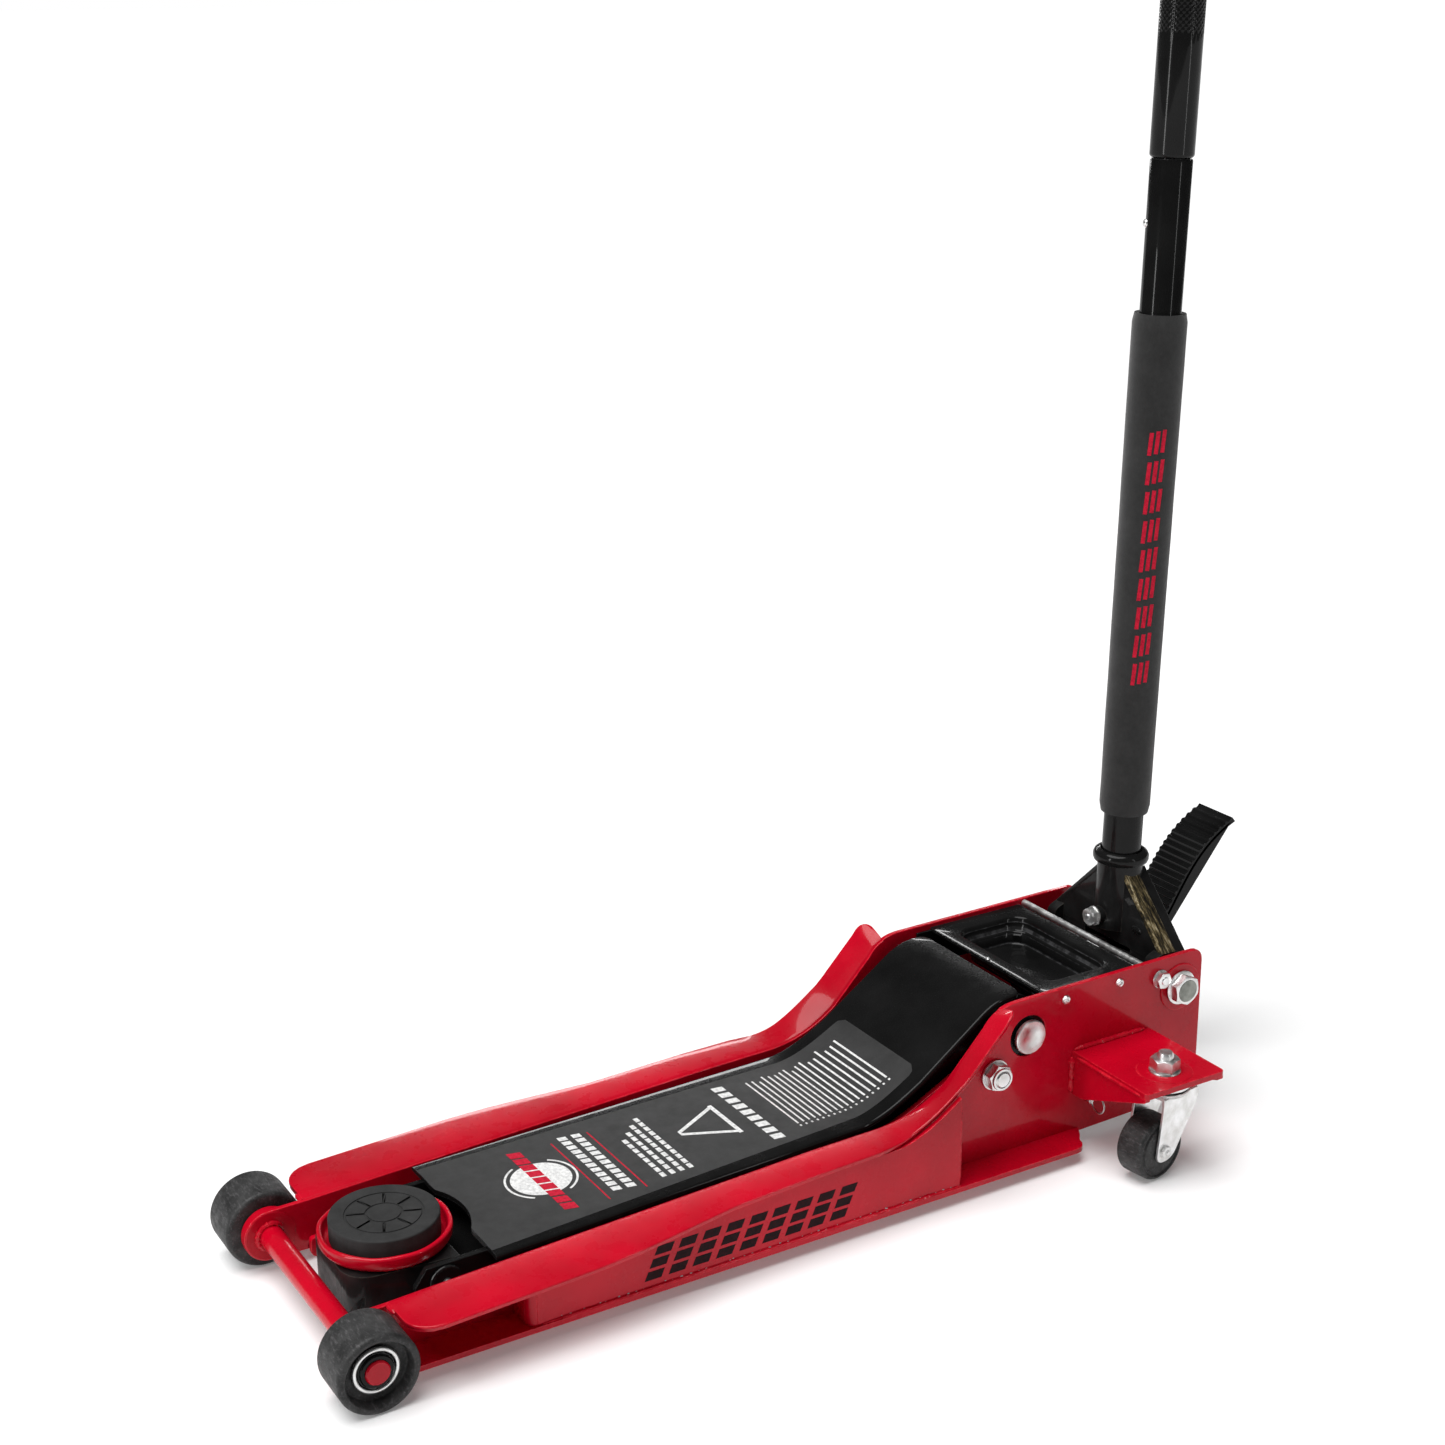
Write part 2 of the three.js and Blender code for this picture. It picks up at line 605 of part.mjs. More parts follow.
function makeSaddleTray() {
  const { floor, rimTop, rimRadius } = SADDLE;
  const profile = [
    [0, SADDLE_STEM.bottom], [SADDLE_STEM.radius, SADDLE_STEM.bottom], [SADDLE_STEM.radius, floor],
    [50, floor], [rimRadius, floor + 4], [rimRadius, rimTop - 1], [rimRadius - 1.5, rimTop],
    [rimRadius - 4, rimTop], [rimRadius - 5, 62], [0, 62],
  ];
  return turned('z', profile, [0, SADDLE.y, 0], 28);
}

function makeSaddlePad() {
  const { padRadius, padTop } = SADDLE;
  const profile = [
    [0, 62 + GAP], [padRadius - 1, 62 + GAP], [padRadius, 64], [padRadius, padTop - 2],
    [padRadius - 2, padTop], [0, padTop],
  ];
  return turned('z', profile, [0, SADDLE.y, 0], 28);
}

// ---------------------------------------------------------------- hydraulics

const towardsBlock = new THREE.Vector3(0, -Math.sin(SPINDLE.angle), -Math.cos(SPINDLE.angle));

// A rod along the release spindle's axis, between two distances from the handle pivot.
function alongSpindle(radius, from, to, segments) {
  const geometry = geometryOf(rod('z', radius, -from, -to, [0, 0, 0], segments));
  geometry.rotateX(-SPINDLE.angle);
  geometry.translate(0, HANDLE_PIVOT.y, HANDLE_PIVOT.z);
  return solidOf(geometry);
}

function makeHydraulicBlock() {
  const { front, rear, halfWidth, bottom, top } = BLOCK;
  const body = plateXZ(rounded([
    [-halfWidth, bottom, 5],
    [halfWidth, bottom, 5],
    [halfWidth, top, 5],
    [-halfWidth, top, 5],
  ]), front, rear, 2);
  const lugs = block(-RAIL.inner + 0.5, RAIL.inner - 0.5, front + 5, rear - 5, 66, 92);
  const pumpBarrel = rod('y', 11, 754, rear, [PUMP.x, 0, PUMP.z]);
  const pedalBarrel = rod('y', 9.5, 772, rear, [PEDAL_PUMP.x, 0, PEDAL_PUMP.z]);
  const valveBoss = alongSpindle(10, 36, 62);
  const ramBore = rod('y', RAM.radius + 0.5, front - 1, 812, [0, 0, RAM.z]);
  const pumpBore = rod('y', PUMP.radius + RUNNING, 757, rear + 5, [PUMP.x, 0, PUMP.z]);
  const pedalRadius = PEDAL_PUMP.radius + RUNNING;
  const pedalBore = rod('y', pedalRadius, 775, rear + 5, [PEDAL_PUMP.x, 0, PEDAL_PUMP.z]);
  const valveBore = alongSpindle(SPINDLE.radius + RUNNING, 20, SPINDLE.length + 2);
  const solid = join(body, lugs, pumpBarrel, pedalBarrel, valveBoss);
  return cut(solid, ramBore, pumpBore, pedalBore, valveBore);
}

function makeReservoir() {
  const { radius, wall, front, cap } = RESERVOIR;
  const rear = BLOCK.front - GAP;
  const neck = CYLINDER.outer + GAP;
  const profile = [
    [neck, front], [radius, front], [radius, rear], [neck, rear], [neck, rear - cap],
    [radius - wall, rear - cap], [radius - wall, front + cap], [neck, front + cap], [neck, front],
  ];
  return turned('y', profile, [0, 0, RAM.z], 20);
}

function makeRamRod() {
  const head = RAM.pinY + 13;
  const profile = [
    [0, RAM.pinY - 12], [13, RAM.pinY - 12], [14.5, RAM.pinY - 10], [14.5, head], [RAM.radius, head],
    [RAM.radius, RAM.rear], [0, RAM.rear],
  ];
  const pinHole = rod('x', RAM.pinRadius + GAP, -30, 30, [0, RAM.pinY, RAM.z]);
  return cut(turned('y', profile, [0, 0, RAM.z]), pinHole);
}

function makePumpPlunger() {
  const { radius, headRadius, front, rear } = PUMP;
  const profile = [
    [0, front], [radius, front], [radius, rear - 4], [headRadius, rear - 4], [headRadius, rear],
    [0, rear],
  ];
  return turned('y', profile, [PUMP.x, 0, PUMP.z]);
}

function makeReleaseSpindle() {
  const ball = [];
  for (let step = 0; step <= 6; step += 1) {
    const angle = -Math.PI / 2 + step * Math.PI / 6;
    ball.push([BALL.radius * Math.cos(angle), BALL.radius * Math.sin(angle)]);
  }
  ball[0][0] = 0;
  ball[6][0] = 0;
  const centre = [0, HANDLE_PIVOT.y, HANDLE_PIVOT.z];
  return join(turned('z', ball, centre), alongSpindle(SPINDLE.radius, 4, SPINDLE.length));
}

// ---------------------------------------------------------------- handle
// These pieces are drawn with the handle pivot at the origin and the handle straight up.

function makeYoke() {
  const shoulder = (x, drop = 0) => 109 - x - drop;
  const socket = tube('z', SOCKET.outer, SOCKET.inner, SOCKET.bottom, SOCKET.top, [0, 0, 0], 16);
  const collar = turned('z', [
    [SOCKET.inner, 97], [24.5, 97], [27, 100], [27, 106], [24.5, 110], [21, 110], [SOCKET.inner, 107],
    [SOCKET.inner, 97],
  ], [0, 0, 0], 16);
  const reach = YOKE.cheekOuter;
  const webOutline = new THREE.Shape([
    new THREE.Vector2(-reach, 18),
    new THREE.Vector2(reach, 18),
    new THREE.Vector2(reach, shoulder(reach)),
    new THREE.Vector2(18, shoulder(18)),
    new THREE.Vector2(-18, shoulder(18)),
    new THREE.Vector2(-reach, shoulder(reach)),
  ]);
  const web = plateXZ(webOutline, YOKE.webFront, YOKE.webRear);
  const rims = SIDES.map(([, side]) => plateXZ(new THREE.Shape([
    new THREE.Vector2(side * 18, shoulder(18)),
    new THREE.Vector2(side * reach, shoulder(reach)),
    new THREE.Vector2(side * reach, shoulder(reach, 7)),
    new THREE.Vector2(side * 18, shoulder(18, 7)),
  ]), YOKE.webFront, YOKE.rimRear));
  const cheekOutline = rounded([
    [-21, -21, 16],
    [-21, 24, 6],
    [YOKE.webFront, shoulder(reach), 2],
    [YOKE.rimRear + 4, shoulder(reach), 8],
    [36, 12, 10],
    [24, -24, 14],
  ]);
  const cheeks = SIDES.map(([, side]) => (
    plateYZ(cheekOutline, side * YOKE.cheekInner, side * YOKE.cheekOuter)
  ));
  const bosses = SIDES.map(([, side]) => (
    rod('x', 17, side * YOKE.cheekInner, side * YOKE.bossOuter, [0, 0, 0])
  ));
  const rollerPin = rod('x', ROLLER.pinRadius, -YOKE.cheekInner - 2, -24, rollerCentre());
  const lockCentre = [0, 0, LOCK_BOLT.height];
  const lockBoss = rod('y', LOCK_BOLT.boss, -28, -12, lockCentre);
  const pivotBore = rod('x', HANDLE_PIVOT.radius + RUNNING, -100, 100, [0, 0, 0]);
  const tubeBore = rod('z', SOCKET.inner, 10, 120, [0, 0, 0], 16);
  const lockBore = rod('y', LOCK_BOLT.radius + GAP, -40, -10, lockCentre, 12);
  const solid = join(socket, collar, web, ...rims, ...cheeks, ...bosses, lockBoss);
  return cut(solid, pivotBore, tubeBore, lockBore).add(rollerPin);
}

function rollerCentre() {
  return [0, ROLLER.reach * Math.sin(ROLLER.angle), -ROLLER.reach * Math.cos(ROLLER.angle)];
}

function makeLockBolt() {
  const centre = [0, 0, LOCK_BOLT.height];
  const shank = rod('y', LOCK_BOLT.radius, -30, -SOCKET.inner - GAP, centre, 12);
  return join(shank, hexagon('y', LOCK_BOLT.acrossFlats, -36, -28 - GAP, centre));
}

const buttonRod = (radius, from, to) => {
  const geometry = geometryOf(rod('y', radius, -from, -to, [0, 0, BUTTON.height]));
  return solidOf(geometry.rotateZ(BUTTON.turn));
};

function makeLowerTube() {
  const wall = tube('z', HANDLE.radius, HANDLE.bore, HANDLE.bottom, HANDLE.joint, [0, 0, 0], 16);
  return cut(wall, buttonRod(BUTTON.radius + RUNNING, 10, 30));
}

function makeUpperTube() {
  const { bore, joint, upperRadius, top } = HANDLE;
  const spigot = bore - 0.4;
  const inside = spigot - 2.4;
  const profile = [
    [0, top - 12], [inside, top - 12], [inside, joint - 124], [spigot, joint - 124],
    [spigot, joint + GAP], [upperRadius - 2, joint + GAP], [upperRadius, joint + 4],
    [upperRadius, top - 5], [upperRadius - 5, top], [0, top],
  ];
  return cut(turned('z', profile, [0, 0, 0], 16), buttonRod(BUTTON.radius + RUNNING, 5, 30));
}

// The drive cup sits on the release spindle's ball and turns it, whatever the handle's tilt.
function makeDriveCup() {
  const profile = [];
  for (let step = 0; step <= 4; step += 1) {
    const angle = Math.PI / 2 - step * Math.PI / 8;
    profile.push([BALL.cupInner * Math.cos(angle), BALL.cupInner * Math.sin(angle)]);
  }
  profile[0][0] = 0;
  const plug = HANDLE.bore - 0.4;
  profile.push([BALL.cupOuter, 0], [BALL.cupOuter, 6], [9, 13], [9, 32], [plug, 36], [plug, 54], [0, 54]);
  return turned('z', profile, [0, 0, 0]);
}

// ---------------------------------------------------------------- foot pedal

// The ribbed face of the pedal, from its lower end to its tip, as points (y, z).
function pedalFace() {
  const face = new THREE.CubicBezierCurve(
    new THREE.Vector2(938, 140),
    new THREE.Vector2(960, 172),
    new THREE.Vector2(975, 210),
    new THREE.Vector2(1024, 230),
  );
  return face.getPoints(8);
}

function makeFootPedal() {
  const face = pedalFace();
  const tread = plateYZ(stripUnder(face, 5), PEDAL.left, PEDAL.right);
  const sideOutline = new THREE.Shape([...face, new THREE.Vector2(948, 132)]);
  const flanks = [PEDAL.left, PEDAL.right - 4].map((x) => plateYZ(sideOutline, x, x + 4));
  const leverOutline = rounded([
    [PEDAL.y - 10, 50, 5],
    [PEDAL.y + 6, 50, 5],
    [PEDAL.y + 12, PEDAL.z - 14, 8],
    [900, 74, 20],
    [950, 112, 14],
    [966, 158, 4],
    [956, 166, 4],
    [938, 141, 6],
    [934, 122, 12],
    [896, 94, 20],
    [PEDAL.y + 8, PEDAL.z + 9, 8],
    [PEDAL.y - 9, PEDAL.z + 9, 8],
  ]);
  const lever = plateYZ(leverOutline, PEDAL.leverLeft, PEDAL.leverRight);
  const pinHole = rod('x', PEDAL.pinRadius + RUNNING, -70, -30, onAxle(PEDAL));
  return cut(join(tread, ...flanks, lever), pinHole);
}

// ---------------------------------------------------------------- assembly

const jack = new THREE.Group();
jack.position.y = -FOOTPRINT_MIDDLE_Y;

const handleFrame = new THREE.Group();
handleFrame.position.set(0, HANDLE_PIVOT.y, HANDLE_PIVOT.z);
handleFrame.rotation.x = -HANDLE_TILT;
jack.add(handleFrame);

function place(name, solid, finish, parent = jack) {
  const mesh = new THREE.Mesh(geometryOf(solid), new THREE.MeshStandardMaterial(finish));
  mesh.name = name;
  parent.add(mesh);
}

for (const [name, side] of SIDES) {
  place(`side_rail_${name}`, makeSideRail(side), PAINT_RED);
  place(`side_cover_${name}`, makeSideCover(side), PAINT_RED);
  place(`front_wheel_${name}`, makeFrontWheel(side), WHEEL_BLACK);
  place(`wheel_ring_${name}`, makeWheelRing(side), ZINC);

  place(`caster_bracket_${name}`, makeCasterBracket(side), PAINT_RED);
  place(`caster_stem_${name}`, makeCasterStem(side), ZINC);
  const swivel = new THREE.Group();
  swivel.position.set(side * CASTER.x, CASTER.y, 0);
  swivel.rotation.z = side * CASTER.turn;
  jack.add(swivel);
  place(`caster_fork_${name}`, makeCasterFork(), ZINC, swivel);
  place(`caster_wheel_${name}`, makeCasterWheel(), WHEEL_BLACK, swivel);
  place(`caster_axle_${name}`, makeCasterAxle(), STEEL, swivel);

  place(`lift_arm_plate_${name}`, makeArmPlate(side), PAINT_BLACK);
  place(`link_bar_${name}`, makeLinkBar(side), PAINT_RED);
  const linkStud = rod('x', LINK_PIVOT.radius, side * 72, side * 111, onAxle(LINK_PIVOT));
  const linkNut = hexagon('x', 24, side * (RAIL.outer + GAP), side * 108, onAxle(LINK_PIVOT));
  place(`link_bolt_${name}`, join(linkStud, linkNut), ZINC);

  const pivotShank = rod('x', HANDLE_PIVOT.radius, side * 60, side * 100, onAxle(HANDLE_PIVOT));
  const pivotFlange = rod('x', 18, side * (RAIL.outer + GAP), side * 99, onAxle(HANDLE_PIVOT));
  const pivotHead = hexagon('x', 30, side * 98, side * 109, onAxle(HANDLE_PIVOT));
  place(`handle_pivot_bolt_${name}`, join(pivotShank, pivotFlange, pivotHead), ZINC);

  const springCentre = [side * 45, 0, RAM.z];
  const springFront = RAM.pinY + RAM.pinRadius + 1;
  place(`return_spring_${name}`, rod('y', 6, springFront, BLOCK.front - 1, springCentre, 12), STEEL);
}

place('front_axle', rod('x', AXLE.radius, -AXLE.halfLength, AXLE.halfLength, onAxle(AXLE), 24), PAINT_RED);
const shaft = rod('x', MAIN_PIVOT.radius, -98, 98, onAxle(MAIN_PIVOT));
const shaftHead = rod('x', MAIN_PIVOT.headRadius, RAIL.outer + GAP, 101, onAxle(MAIN_PIVOT), 20);
place('main_pivot_shaft', join(shaft, shaftHead), ZINC);
place('tool_tray', makeToolTray(), PAINT_BLACK);
place('rear_tie_rod', rod('x', 3.5, -90.6, 90.6, [0, 806, 163.5]), ZINC);
place('bottom_tie_plate', block(-90.6, 90.6, 575, 700, 12.3, 17.3), PAINT_RED);

place('lift_arm_cover', makeArmCover(), COVER_BLACK);
place('lift_arm_lever', makeArmLever(), CAST_BLACK);
const braceHalf = ARM_PLATE.inner - GAP;
const { front: braceFront, rear: braceRear, bottom: braceBottom, top: braceTop } = ARM_BRACE;
const brace = block(-braceHalf, braceHalf, braceFront, braceRear, braceBottom, braceTop);
place('lift_arm_brace', brace, PAINT_BLACK);

place('saddle_cradle', makeCradle(), CAST_BLACK);
place('cradle_pivot_pin', rod('x', ARM_TIP.radius, -71, 71, onAxle(ARM_TIP)), STEEL);
place('cradle_link_pin', rod('x', LINK_TIP.radius, -82, 82, onAxle(LINK_TIP)), STEEL);
place('saddle_tray', makeSaddleTray(), PAINT_RED);
place('saddle_pad', makeSaddlePad(), RUBBER);
const clipCentre = [0, SADDLE.y, 0];
place('saddle_clip', tube('z', 14.5, SADDLE_STEM.radius + GAP, 45, 47.5, clipCentre, 28), STEEL);

place('hydraulic_block', makeHydraulicBlock(), CAST_BLACK);
place('oil_reservoir', makeReservoir(), CAST_BLACK);
const cylinderCentre = [0, 0, RAM.z];
const cylinderEnds = [CYLINDER.front, BLOCK.front - GAP];
place('ram_cylinder', tube('y', CYLINDER.outer, RAM.radius + 0.5, ...cylinderEnds, cylinderCentre), STEEL);
place('ram_rod', makeRamRod(), STEEL);
place('ram_cross_pin', rod('x', RAM.pinRadius, -52, 52, [0, RAM.pinY, RAM.z]), STEEL);
place('pump_plunger', makePumpPlunger(), STEEL);
place('release_spindle', makeReleaseSpindle(), STEEL);

place('handle_yoke', makeYoke(), CAST_BLACK, handleFrame);
const roller = tube('x', ROLLER.radius, ROLLER.pinRadius + RUNNING, -40, -26, rollerCentre());
place('pump_roller', roller, STEEL, handleFrame);
place('yoke_lock_bolt', makeLockBolt(), ZINC, handleFrame);
place('handle_lower_tube', makeLowerTube(), PAINT_BLACK, handleFrame);
place('handle_upper_tube', makeUpperTube(), PAINT_BLACK, handleFrame);
place('handle_drive_cup', makeDriveCup(), STEEL, handleFrame);
const sleeveBore = HANDLE.radius + GAP;
const sleeve = tube('z', SLEEVE.radius, sleeveBore, SLEEVE.bottom, SLEEVE.top, [0, 0, 0], 20);
place('handle_sleeve', sleeve, FOAM, handleFrame);
place('detent_button', buttonRod(BUTTON.radius, BUTTON.inner, BUTTON.outer), ZINC, handleFrame);

place('foot_pedal', makeFootPedal(), PAINT_BLACK);
const pedalPin = rod('x', PEDAL.pinRadius, -98, -44, onAxle(PEDAL));
const pedalPinHead = rod('x', 9, -101, -RAIL.outer - GAP, onAxle(PEDAL));
place('pedal_pivot_pin', join(pedalPin, pedalPinHead), ZINC);
const pedalPlungerCentre = [PEDAL_PUMP.x, 0, PEDAL_PUMP.z];
place('pedal_plunger', rod('y', PEDAL_PUMP.radius, PEDAL_PUMP.front + 14, 835, pedalPlungerCentre), STEEL);

export default jack;
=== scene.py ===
"""Hydraulic floor jack: the looks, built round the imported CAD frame.

Sizes are in millimetres. While a piece is being made, x is measured from the centre plane,
y from the front axle towards the handle end, and z from the floor. Handle pieces are made with
the handle's pivot at the origin and the handle straight up, and are then tilted into place. A
caster's fork, axle and tyre are made with its swivel axis at the origin, trailing to the front.
"""

import math

import bmesh
import bpy
from mathutils import Matrix, Vector, noise


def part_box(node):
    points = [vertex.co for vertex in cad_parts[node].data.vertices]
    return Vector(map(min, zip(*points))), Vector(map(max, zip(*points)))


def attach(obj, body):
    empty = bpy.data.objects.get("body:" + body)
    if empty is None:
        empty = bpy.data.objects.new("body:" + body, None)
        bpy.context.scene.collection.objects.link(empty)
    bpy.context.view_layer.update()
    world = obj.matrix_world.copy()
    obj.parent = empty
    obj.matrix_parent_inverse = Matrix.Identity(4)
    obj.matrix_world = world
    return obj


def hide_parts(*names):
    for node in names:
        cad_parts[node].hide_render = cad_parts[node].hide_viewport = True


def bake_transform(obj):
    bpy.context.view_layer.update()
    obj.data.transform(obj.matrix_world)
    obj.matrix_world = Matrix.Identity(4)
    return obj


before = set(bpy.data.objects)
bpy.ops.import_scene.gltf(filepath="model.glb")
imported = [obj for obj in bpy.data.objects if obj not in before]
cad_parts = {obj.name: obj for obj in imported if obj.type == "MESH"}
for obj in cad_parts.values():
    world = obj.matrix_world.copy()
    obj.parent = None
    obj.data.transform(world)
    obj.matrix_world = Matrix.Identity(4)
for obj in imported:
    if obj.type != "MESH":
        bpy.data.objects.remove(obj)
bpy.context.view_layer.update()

# ---- places taken from the frame

AXLE_LOW, AXLE_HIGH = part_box("front_axle")
AXLE_Y = (AXLE_LOW.y + AXLE_HIGH.y) / 2
TO_FRAME = Matrix.Translation((0, AXLE_Y, 0)) @ Matrix.Scale(0.001, 4)


def node_box(node):
    """A CAD node's lowest and highest corners, in this file's millimetres."""
    back = TO_FRAME.inverted()
    low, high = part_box(node)
    return back @ low, back @ high


def node_middle(node):
    low, high = node_box(node)
    return (low + high) / 2


def axis_of(node):
    """The middle of a CAD node, moved sideways onto the centre plane."""
    middle = node_middle(node)
    return (0, middle.y, middle.z)


AXLE_Z = node_middle("front_axle").z
MAIN = node_middle("main_pivot_shaft")
LINK = node_middle("link_bolt_right")
TIP = node_middle("cradle_pivot_pin")
LINK_TIP = node_middle("cradle_link_pin")
RAM_Z = node_middle("ram_rod").z
RAM_PIN_Y = node_middle("ram_cross_pin").y
CASTER = node_middle("caster_stem_right")

AXLE_AXIS = (0, 0, AXLE_Z)
MAIN_AXIS = axis_of("main_pivot_shaft")
LINK_AXIS = axis_of("link_bolt_right")
TIP_AXIS = axis_of("cradle_pivot_pin")
LINK_TIP_AXIS = axis_of("cradle_link_pin")
PIVOT_AXIS = axis_of("handle_pivot_bolt_right")
RAM_AXIS = (0, 0, RAM_Z)
PUMP_AXIS = (-33, 0, 111)
PEDAL_PUMP_AXIS = (-52, 0, 58)
PEDAL_AXIS = (0, 846, 84)
CASTER_CENTRE = (CASTER.x, CASTER.y, 0)
SADDLE_CENTRE = (0, 68.5, 0)

HANDLE_TILT = math.radians(1.65)
HANDLE_PLACE = (
    TO_FRAME
    @ Matrix.Translation(PIVOT_AXIS)
    @ Matrix.Rotation(-HANDLE_TILT, 4, "X")
)
LOCK_AXIS = (0, 0, 44)
BUTTON_CENTRE = (0, 0, 707)
BUTTON_TURN = Matrix.Rotation(math.radians(-30), 4, "Z")
CASTER_TURN = math.radians(8)
CASTER_TRAIL = 16
CASTER_RADIUS = 30
TYRE_CENTRE = (0, -CASTER_TRAIL, CASTER_RADIUS)
SIDES = (1, -1)
SIDE_NAMES = {1: "right", -1: "left"}

LINK_TIP_HEAD = 9
TIP_PIN = 7.5
BEAD_STEP = 1.6
SPINDLE_TURN = Matrix.Rotation(-math.radians(38), 4, "X")
RAIL_INNER = 91
RAIL_OUTER = 96
FLANGE = 6
LEAN = 0.36


# ---- outlines and solids


def arc(centre, radius, start, end, steps):
    """Points on an arc, with the angles in degrees."""
    points = []
    for i in range(steps + 1):
        angle = math.radians(start + (end - start) * i / steps)
        points.append((centre[0] + radius * math.cos(angle), centre[1] + radius * math.sin(angle)))
    return points


def bezier(a, b, c, d, steps):
    points = []
    for i in range(steps + 1):
        t = i / steps
        weights = ((1 - t) ** 3, 3 * t * (1 - t) ** 2, 3 * t * t * (1 - t), t**3)
        points.append(tuple(sum(w * p[k] for w, p in zip(weights, (a, b, c, d))) for k in (0, 1)))
    return points


def rounded(corners, steps=6):
    """A closed outline through corners (a, b, radius), with each cornered by a smooth curve."""
    outline = []
    count = len(corners)
    for i, (a, b, radius) in enumerate(corners):
        here = Vector((a, b))
        before = Vector(corners[i - 1][:2])
        after = Vector(corners[(i + 1) % count][:2])
        if radius == 0:
            outline.append((a, b))
            continue
        enter = here + (before - here).normalized() * radius
        leave = here + (after - here).normalized() * radius
        for k in range(steps + 1):
            t = k / steps
            point = enter * (1 - t) ** 2 + here * 2 * t * (1 - t) + leave * t * t
            outline.append((point.x, point.y))
    return outline


AXIS_POINT = {
    "x": lambda a, b, t: Vector((t, a, b)),
    "y": lambda a, b, t: Vector((a, t, b)),
    "z": lambda a, b, t: Vector((a, b, t)),
}


def loft(rings, closed=False):
    """A solid through rings of equally many points, capped at both ends unless closed on itself."""
    mesh = bmesh.new()
    made = [[mesh.verts.new(point) for point in ring] for ring in rings]
    count = len(made[0])
    pairs = list(zip(made, made[1:]))
    if closed:
        pairs.append((made[-1], made[0]))
    for first, second in pairs:
        for i in range(count):
            j = (i + 1) % count
            mesh.faces.new((first[i], first[j], second[j], second[i]))
    if not closed:
        mesh.faces.new(list(reversed(made[0])))
        mesh.faces.new(made[-1])
    bmesh.ops.recalc_face_normals(mesh, faces=mesh.faces)
    return mesh


def prism(outline, low, high, axis="x"):
    """An outline pushed along an axis. It is drawn in (y, z), (x, z) or (x, y)."""
    point = AXIS_POINT[axis]
    return loft([[point(a, b, t) for a, b in outline] for t in (low, high)])


def box(x, y, z):
    return prism([(x[0], y[0]), (x[1], y[0]), (x[1], y[1]), (x[0], y[1])], z[0], z[1], "z")


def lathe(profile, axis="x", centre=(0, 0, 0), segments=48, wobble=None):
    """Turns profile points (radius, distance along the axis). A profile that starts and ends on
    the axis gives a solid, and any other profile is closed on itself, as a ring."""
    solid = profile[0][0] == 0 and profile[-1][0] == 0
    body = profile[1:-1] if solid else profile
    point = AXIS_POINT[axis]
    rings = []
    for radius, along in body:
        ring = []
        for i in range(segments):
            angle = 2 * math.pi * i / segments
            r = radius + (wobble(angle, radius, along) if wobble else 0)
            ring.append(point(r * math.cos(angle), r * math.sin(angle), along) + Vector(centre))
        rings.append(ring)
    if not solid:
        return loft(rings, closed=True)
    mesh = loft(rings)
    for along, face in zip((profile[0][1], profile[-1][1]), list(mesh.faces)[-2:]):
        tip = mesh.verts.new(point(0, 0, along) + Vector(centre))
        loop = list(face.verts)
        mesh.faces.remove(face)
        for i, corner in enumerate(loop):
            mesh.faces.new((corner, loop[(i + 1) % len(loop)], tip))
    bmesh.ops.recalc_face_normals(mesh, faces=mesh.faces)
    return mesh


def rod(radius, low, high, axis="x", centre=(0, 0, 0), segments=32, chamfer=0.6):
    profile = [
        (0, low), (radius - chamfer, low), (radius, low + chamfer),
        (radius, high - chamfer), (radius - chamfer, high), (0, high),
    ]
    return lathe(profile, axis, centre, segments)


def hex_head(across, low, high, axis="x", centre=(0, 0, 0), turn=0.0, inner=0.0):
    """A hexagon whose outer corners are turned off at 30 degrees on the high end. It has a hole
    if inner is above 0. High may lie below low, for a head that faces the other way."""
    way = 1 if high > low else -1
    flat = across / 2
    corners = 48
    count = 4 if inner == 0 else 6
    rings = [[] for _ in range(count)]
    for i in range(corners):
        angle = 2 * math.pi * i / corners
        reach = flat / math.cos((angle + math.pi / 6) % (math.pi / 3) - math.pi / 6)
        fall = max(0.0, reach - flat * 0.97) * math.tan(math.radians(30))
        levels = [(reach - 0.4, low), (reach, low + way * 0.4), (reach, high - way * fall)]
        levels += [(flat * 0.95, high), (inner, high - way * 0.5), (inner, low)]
        for ring, (radius, along) in zip(rings, levels):
            a, b = radius * math.cos(angle + turn), radius * math.sin(angle + turn)
            ring.append(AXIS_POINT[axis](a, b, along) + Vector(centre))
    return loft(rings, closed=inner > 0)


def sweep(points, radius, sides=10, closed=False):
    """A round rod along points. Radius is a number or a function of the share of the way."""
    points = [Vector(p) for p in points]
    count = len(points)
    normal = None
    rings = []
    for i, here in enumerate(points):
        if closed:
            along = (points[(i + 1) % count] - points[i - 1]).normalized()
        else:
            along = (points[min(i + 1, count - 1)] - points[max(i - 1, 0)]).normalized()
        if normal is None:
            normal = along.orthogonal().normalized()
        normal = (normal - along * normal.dot(along)).normalized()
        across = along.cross(normal)
        r = radius(i / (count - 1)) if callable(radius) else radius
        ring = []
        for k in range(sides):
            angle = 2 * math.pi * k / sides
            ring.append(here + normal * (r * math.cos(angle)) + across * (r * math.sin(angle)))
        rings.append(ring)
    return loft(rings, closed)


